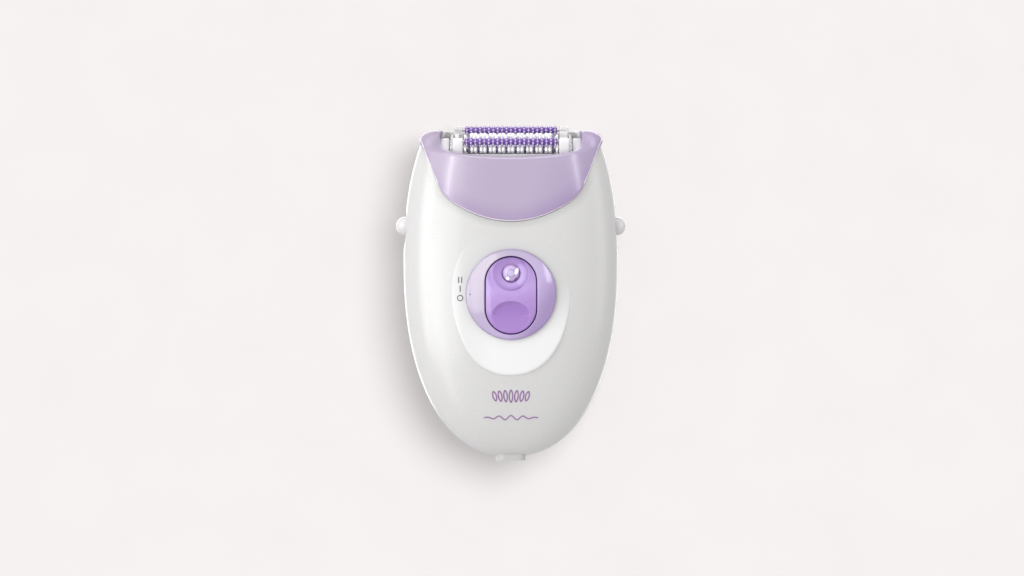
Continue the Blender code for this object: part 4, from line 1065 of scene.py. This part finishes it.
for place, word in ((ROLLER_V, "front"), (-ROLLER_V, "rear")):
    _, y, z = opening_to_body((0.0, place, ROLLER_U))
    tint = graded(
        "roller_tint_" + word,
        [(0.0, (0.16, 0.07, 0.40)), (0.22, (0.24, 0.12, 0.52)), (0.6, (0.60, 0.48, 0.82)),
         (1.0, (0.86, 0.80, 0.95))],
        origin=(0.0, y, z), reach=(1.0, 1.9), across=(0.0, 1.0, 1.0),
        rough=0.3, scatter=0.25, coat=0.2)
    build("roller_" + word, roller(y, z), tint, "roller_" + word,
          ("massage_roller_" + word,), 60.0, merge=1e-6)

# ---------------------------------------------------------------- tweezer barrel
BARREL_CENTRE = (BARREL_Y, BARREL_Z)
CORE_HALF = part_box("barrel_core")[1].x / MM
profile = [(-CORE_HALF, 1.3), (-CORE_HALF, 2.85), (-CORE_HALF + 0.15, 3.0),
           (CORE_HALF - 0.15, 3.0), (CORE_HALF, 2.85), (CORE_HALF, 1.3)]
build("barrel_hub", turned(profile, "x", BARREL_CENTRE, 48), HUB, "tweezer_barrel",
      ("barrel_core",))

# ribs and fixed blades stand one pitch apart, the moving blades half a pitch between them
PITCH = 1.6
COUNT = 18
FIRST_X = -PITCH * (COUNT - 1) / 2
MOVING_ROWS = (45, 135, 225, 315)       # degrees round the barrel
FIXED_ROWS = (0, 90, 180, 270)
TIP_THICKNESS = 1.12


def barrel_point(x, radius, angle):
    return x, BARREL_Y + radius * math.cos(angle), BARREL_Z + radius * math.sin(angle)


def blade(x, row, half_angle, root, tip, root_thickness, k):
    """A plate, thin at the hub, broad and rounded at the tip; neighbours lean opposite ways."""
    steps = 12
    lean = 0.2 * (-1) ** k
    loops = []
    for step in range(steps + 1):
        angle = math.radians(row) + math.radians(half_angle) * (2 * step / steps - 1)
        from_side = min(step, steps - step) / steps * 2
        top = tip - 0.5 * (1 - quarter_round(from_side * 2.2))
        # (radius, thickness) up one face
        face = [(root, root_thickness), (root + 0.45 * (top - root), root_thickness),
                (top - 0.55, 0.86 * TIP_THICKNESS), (top - 0.16, TIP_THICKNESS),
                (top, 0.55 * TIP_THICKNESS)]
        outline = [(r, -t) for r, t in face] + face[::-1]
        loops.append([barrel_point(x + t / 2 + lean * ((r - root) / (tip - root)) ** 2, r, angle)
                      for r, t in outline])
    return lofted(loops, ends=True)


def carrier(side, row):
    """The strip along one row of moving blades."""
    angles = [math.radians(row) + math.radians(9.0) * (2 * k / 6 - 1) for k in range(7)]
    outline = [(3.35, a) for a in angles] + [(4.3, a) for a in angles[::-1]]
    return swept([[barrel_point(x, r, a) for r, a in outline]
                  for x in (0.4 * side - 15.0, 0.4 * side + 15.0)])


for letter, rows, side in (("a", MOVING_ROWS[0::2], -1), ("b", MOVING_ROWS[1::2], 1)):
    collar = [(0.0, 3.3), (0.0, 4.9), (0.1, 5.0), (0.7, 5.0), (0.8, 4.9), (0.8, 3.3)]
    collar = [(side * (15.4 + x), radius) for x, radius in collar]
    parts = [turned(collar, "x", BARREL_CENTRE, 64)]
    for row in rows:
        parts += [blade(FIRST_X + PITCH * (k + 0.5), row, 14.0, 3.2, BARREL_R, 0.34, k)
                  for k in range(COUNT - 1)]
        parts.append(carrier(side, row))
    build("tweezers_" + letter, merged(parts), BLADE, "comb_" + letter,
          ("tweezer_comb_" + letter,), merge=1e-6)


def rib(x):
    """A disc of the hub, notched where the moving rows pass."""
    outline = []
    for j in range(96):
        angle = 2 * math.pi * j / 96
        near = min(abs((math.degrees(angle) - row + 180) % 360 - 180) for row in MOVING_ROWS)
        outline.append((float(2.95 + 1.75 * smooth01((near - 21.0) / 3.0)), angle))
    return lofted([[barrel_point(x + shift, radius - inset, a) for radius, a in outline]
                   for shift, inset in ((-0.3, 0.08), (-0.22, 0.0), (0.22, 0.0), (0.3, 0.08))],
                  ends=True)


ribs = merged([rib(FIRST_X + PITCH * k) for k in range(COUNT)])
build("barrel_ribs", ribs, FIN, "tweezer_barrel", merge=1e-6)
fixed = merged([blade(FIRST_X + PITCH * k, row, 16.0, 3.0, 5.6, 0.36, k)
                for k in range(COUNT) for row in FIXED_ROWS])
build("barrel_blades", fixed, BLADE, "tweezer_barrel", merge=1e-6)


# ---------------------------------------------------------------- clip-on attachment
def post(side, v_range):
    return rounded_block(sorted((side * 16.5, side * 20.0)), v_range, (-2.1, 5.9), 0.45)


posts = merged([post(side, (6.9, 9.35)) for side in (-1, 1)])
build("roller_posts_front", posts, BLOCK, "massage_attachment", merge=1e-6)
rails = [rounded_block((-18.3, 18.3), v_range, (-0.8, 0.6), 0.35)
         for v_range in ((7.75, 9.1), (-9.1, -7.75))]
for side in (-1, 1):
    rails.append(post(side, (-9.3, -6.95)))
    rails.append(rounded_block(sorted((side * 19.7, side * 21.0)), (-9.15, 9.15), (1.5, 3.2), 0.4))
build("roller_rails", merged(rails), CLEAR, "massage_attachment",
      ("massage_frame",), merge=1e-6)

# outline (y, z) of the smooth caps at the two ends of the barrel
CAP_OUTLINE = [(-9.2, 100.2), (10.1, 100.2), (10.1, 104.2), (8.0, 107.6), (5.2, 110.3),
               (1.0, 111.2), (-3.4, 110.6), (-6.9, 107.9), (-9.0, 104.6)]


def bearing_cap(side):
    bm = bmesh.new()
    near, far = ([bm.verts.new((x, y, z)) for y, z in CAP_OUTLINE]
                 for x in sorted((side * 21.15, side * 24.4)))
    bm.faces.new(near)
    bm.faces.new(far[::-1])
    for k in range(len(near)):
        after = (k + 1) % len(near)
        bm.faces.new((near[after], near[k], far[k], far[after]))
    bmesh.ops.recalc_face_normals(bm, faces=bm.faces)
    bmesh.ops.bevel(bm, geom=bm.edges[:], offset=0.9, segments=4, profile=0.5, affect="EDGES")
    bm.verts.index_update()
    return shape_of(bm)


build("bearing_caps", merged([bearing_cap(side) for side in (-1, 1)]), CAPS, "head",
      merge=1e-6)

# ---------------------------------------------------------------- the rest of the CAD
# finishes of the pieces that aren't steel
FINISH = {
    "chassis": GREY, "motor_end_cap": DARK, "motor_pinion": BRASS, "gear_first": ACETAL,
    "gear_idler": ACETAL, "barrel_gear": ACETAL, "circuit_board": BOARD,
    "switch_module": DARK, "switch_contact": DARK, "lamp": LAMP, "capacitor": BLACK_WIRE,
    "socket_body": SOCKET, "wire_socket_plus": RED_WIRE, "wire_socket_minus": BLACK_WIRE,
    "wire_motor_plus": RED_WIRE, "wire_motor_minus": BLACK_WIRE, "head_frame": FIN,
    "barrel_bush_left": BRASS, "barrel_bush_right": BRASS, "barrel_cam": ACETAL,
}
for name, piece in frame["nodes"].items():
    if piece.hide_render:
        continue
    piece.data.materials.clear()
    piece.data.materials.append(FINISH.get(name, STEEL))
    if not name.startswith(("wire_", "release_spring")):
        bevel = piece.modifiers.new("edge", "BEVEL")
        bevel.width = 0.00012
        bevel.segments = 2
        bevel.limit_method = "ANGLE"
        bevel.angle_limit = math.radians(38)
for side, word in ((-1, "left"), (1, "right")):
    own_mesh(frame["nodes"]["release_spring_" + word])


# ---------------------------------------------------------------- world and floor (metres)
def make_world():
    """One grey for the light that falls on things, another seen by the camera."""
    ambient = 0.65
    world = bpy.data.worlds.new("studio")
    bpy.context.scene.world = world
    nodes = Nodes(world)
    seen = nodes.add("LightPath").outputs["Is Camera Ray"]
    color = nodes.mix(seen, (ambient, ambient * 0.985, ambient * 0.985), (0.90, 0.865, 0.855))
    nodes.fill(nodes.tree.nodes["Background"], {"Strength": 1.0, "Color": color})


def paper():
    """Pale paper seen only by camera and transmission rays, so it throws no light back."""
    nodes = new_material("paper")
    tone = nodes.mix(nodes.remap(nodes.noise(40.0, 4.0)), (0.342, 0.330, 0.328),
                     (0.348, 0.336, 0.334))
    nodes.bsdf(Base_Color=tone, Emission_Color=tone, Emission_Strength=0.95, Roughness=0.95,
               Specular_IOR_Level=0.0)
    rays = nodes.add("LightPath").outputs
    back = nodes.add("NewGeometry").outputs["Backfacing"]
    seen = nodes.maths("MAXIMUM", rays["Is Camera Ray"], rays["Is Transmission Ray"])
    shown = nodes.maths("MULTIPLY", seen, nodes.maths("SUBTRACT", 1.0, back))
    mixer = nodes.add("MixShader", Fac=shown)
    clear = nodes.add("BsdfTransparent").outputs["BSDF"]
    links = nodes.tree.links
    links.new(clear, mixer.inputs[1])
    links.new(nodes.tree.nodes["Principled BSDF"].outputs["BSDF"], mixer.inputs[2])
    links.new(mixer.outputs["Shader"], nodes.tree.nodes["Material Output"].inputs["Surface"])
    return nodes.owner


def make_floor():
    """The floor under the epilator's back, square to the view."""
    y = 0.0203
    mesh = bpy.data.meshes.new("backdrop")
    corners = [(-1.2, y, -1.0), (1.2, y, -1.0), (1.2, y, 1.2), (-1.2, y, 1.2)]
    mesh.from_pydata(corners, [], [(0, 1, 2, 3)])
    ob = bpy.data.objects.new("backdrop", mesh)
    bpy.context.scene.collection.objects.link(ob)
    mesh.materials.append(paper())
    return ob


make_world()
floor = make_floor()

# ---------------------------------------------------------------- lights (metres)
# what each light may fall on
floor_only, part_only, ring_only, head_only, cover_only, shell_only = (
    bpy.data.collections.new(word + "_only")
    for word in ("floor", "part", "ring", "head", "cover", "shell"))
HEAD_PIECES = ("cover_rear", "roller_posts_front", "roller_rails", "bearing_caps", "tweezers_a",
               "tweezers_b", "barrel_ribs", "barrel_blades", "barrel_hub", "head_frame")
floor_only.objects.link(floor)
for ob in bpy.context.scene.objects:
    if ob.type == "MESH" and ob is not floor:
        part_only.objects.link(ob)
for ob in part_only.objects:
    if ob.name == "knob_ring":
        ring_only.objects.link(ob)
    if ob.name in HEAD_PIECES:
        head_only.objects.link(ob)
    if ob.name == "cover_front":
        cover_only.objects.link(ob)
    if any(material is PEARL for material in ob.data.materials):
        shell_only.objects.link(ob)


def around(azimuth, elevation, distance, z=0.06):
    """A place round the object: azimuth 0 is in front, positive to the right (degrees)."""
    a, e = math.radians(azimuth), math.radians(elevation)
    return (distance * math.sin(a) * math.cos(e), -distance * math.cos(a) * math.cos(e),
            z + distance * math.sin(e))


def lamp(name, kind, where, aim, power, receivers, **settings):
    light = bpy.data.lights.new(name, kind)
    light.energy = power
    for key, value in settings.items():
        setattr(light, key, value)
    ob = bpy.data.objects.new(name, light)
    bpy.context.scene.collection.objects.link(ob)
    ob.location = where
    ob.rotation_euler = (Vector(aim) - Vector(where)).to_track_quat("-Z", "Y").to_euler()
    ob.light_linking.receiver_collection = receivers
    return ob


BODY = (0, 0, 0.06)
KNOB = (0, -0.018, 0.0600)
LIP = (0, -0.012, 0.105)
HEAD = (0, 0, 0.107)
# name, (azimuth, elevation, distance[, z of the centre]), aim, power, receivers, (width, height)
AREA_LIGHTS = [
    ("key_left", (-60, 12, 0.9), BODY, 1.9, part_only, (0.24, 0.95)),
    ("key_front", (-35, 12, 0.9), BODY, 3.1, part_only, (0.5, 0.95)),
    ("fill_right", (66, 14, 0.9), BODY, 0.8, part_only, (0.34, 0.8)),
    ("top_soft", (4, 74, 0.8), BODY, 1.0, part_only, (0.6, 0.35)),
    ("back_soft", (180, 35, 1.2), BODY, 3.0, part_only, (0.9, 0.7)),
    ("cover_streak_left", (-31, 18, 0.9), BODY, 1.2, cover_only, (0.03, 0.34)),
    ("cover_streak_right", (36, 20, 0.9), BODY, 0.85, cover_only, (0.03, 0.34)),
    ("ring_glint", (47, 22, 0.9), KNOB, 0.6, ring_only, (0.12, 0.38)),
    ("rim_left", (-150, 8, 0.9), BODY, 1.4, part_only, (0.3, 0.9)),
    ("rim_right", (150, 8, 0.9), BODY, 1.1, part_only, (0.3, 0.9)),
    ("body_streak", (-52, 10, 0.9), BODY, 0.8, shell_only, (0.16, 0.95)),
    ("body_streak_low", (-40, -14, 0.9), BODY, 0.52, shell_only, (0.22, 0.6)),
    ("cover_lip", (-4, 62, 0.8), LIP, 2.3, cover_only, (0.7, 0.08)),
    ("head_fill", (-8, -3, 0.8, HEAD[2]), HEAD, 1.5, head_only, (0.5, 0.3)),
]
# lights that only make reflections
GLOSS_ONLY = ("rim_left", "rim_right", "body_streak", "body_streak_low", "ring_glint",
              "cover_streak_left", "cover_streak_right", "cover_lip")
for name, place, aim, power, receivers, (width, height) in AREA_LIGHTS:
    light = lamp(name, "AREA", around(*place), aim, power, receivers, shape="RECTANGLE",
                 size=width, size_y=height)
    if name in GLOSS_ONLY:
        light.visible_diffuse = False
    if name == "head_fill":
        light.light_linking.blocker_collection = head_only
lamp("floor_sun", "SUN", around(18, 14, 1.0), BODY, 3.65, floor_only, angle=math.radians(36))

# ---------------------------------------------------------------- camera
camera = bpy.data.cameras.new("camera")
camera.lens = 150.0
camera.sensor_width = 36.0
camera.clip_end = 20.0
camera_ob = bpy.data.objects.new("camera", camera)
scene = bpy.context.scene
scene.collection.objects.link(camera_ob)
camera_ob.location = (0.000345, -1.472, 0.0594)
camera_ob.rotation_euler = (math.radians(90), 0, 0)
scene.camera = camera_ob
scene.view_settings.view_transform = "Standard"
scene.view_settings.look = "None"
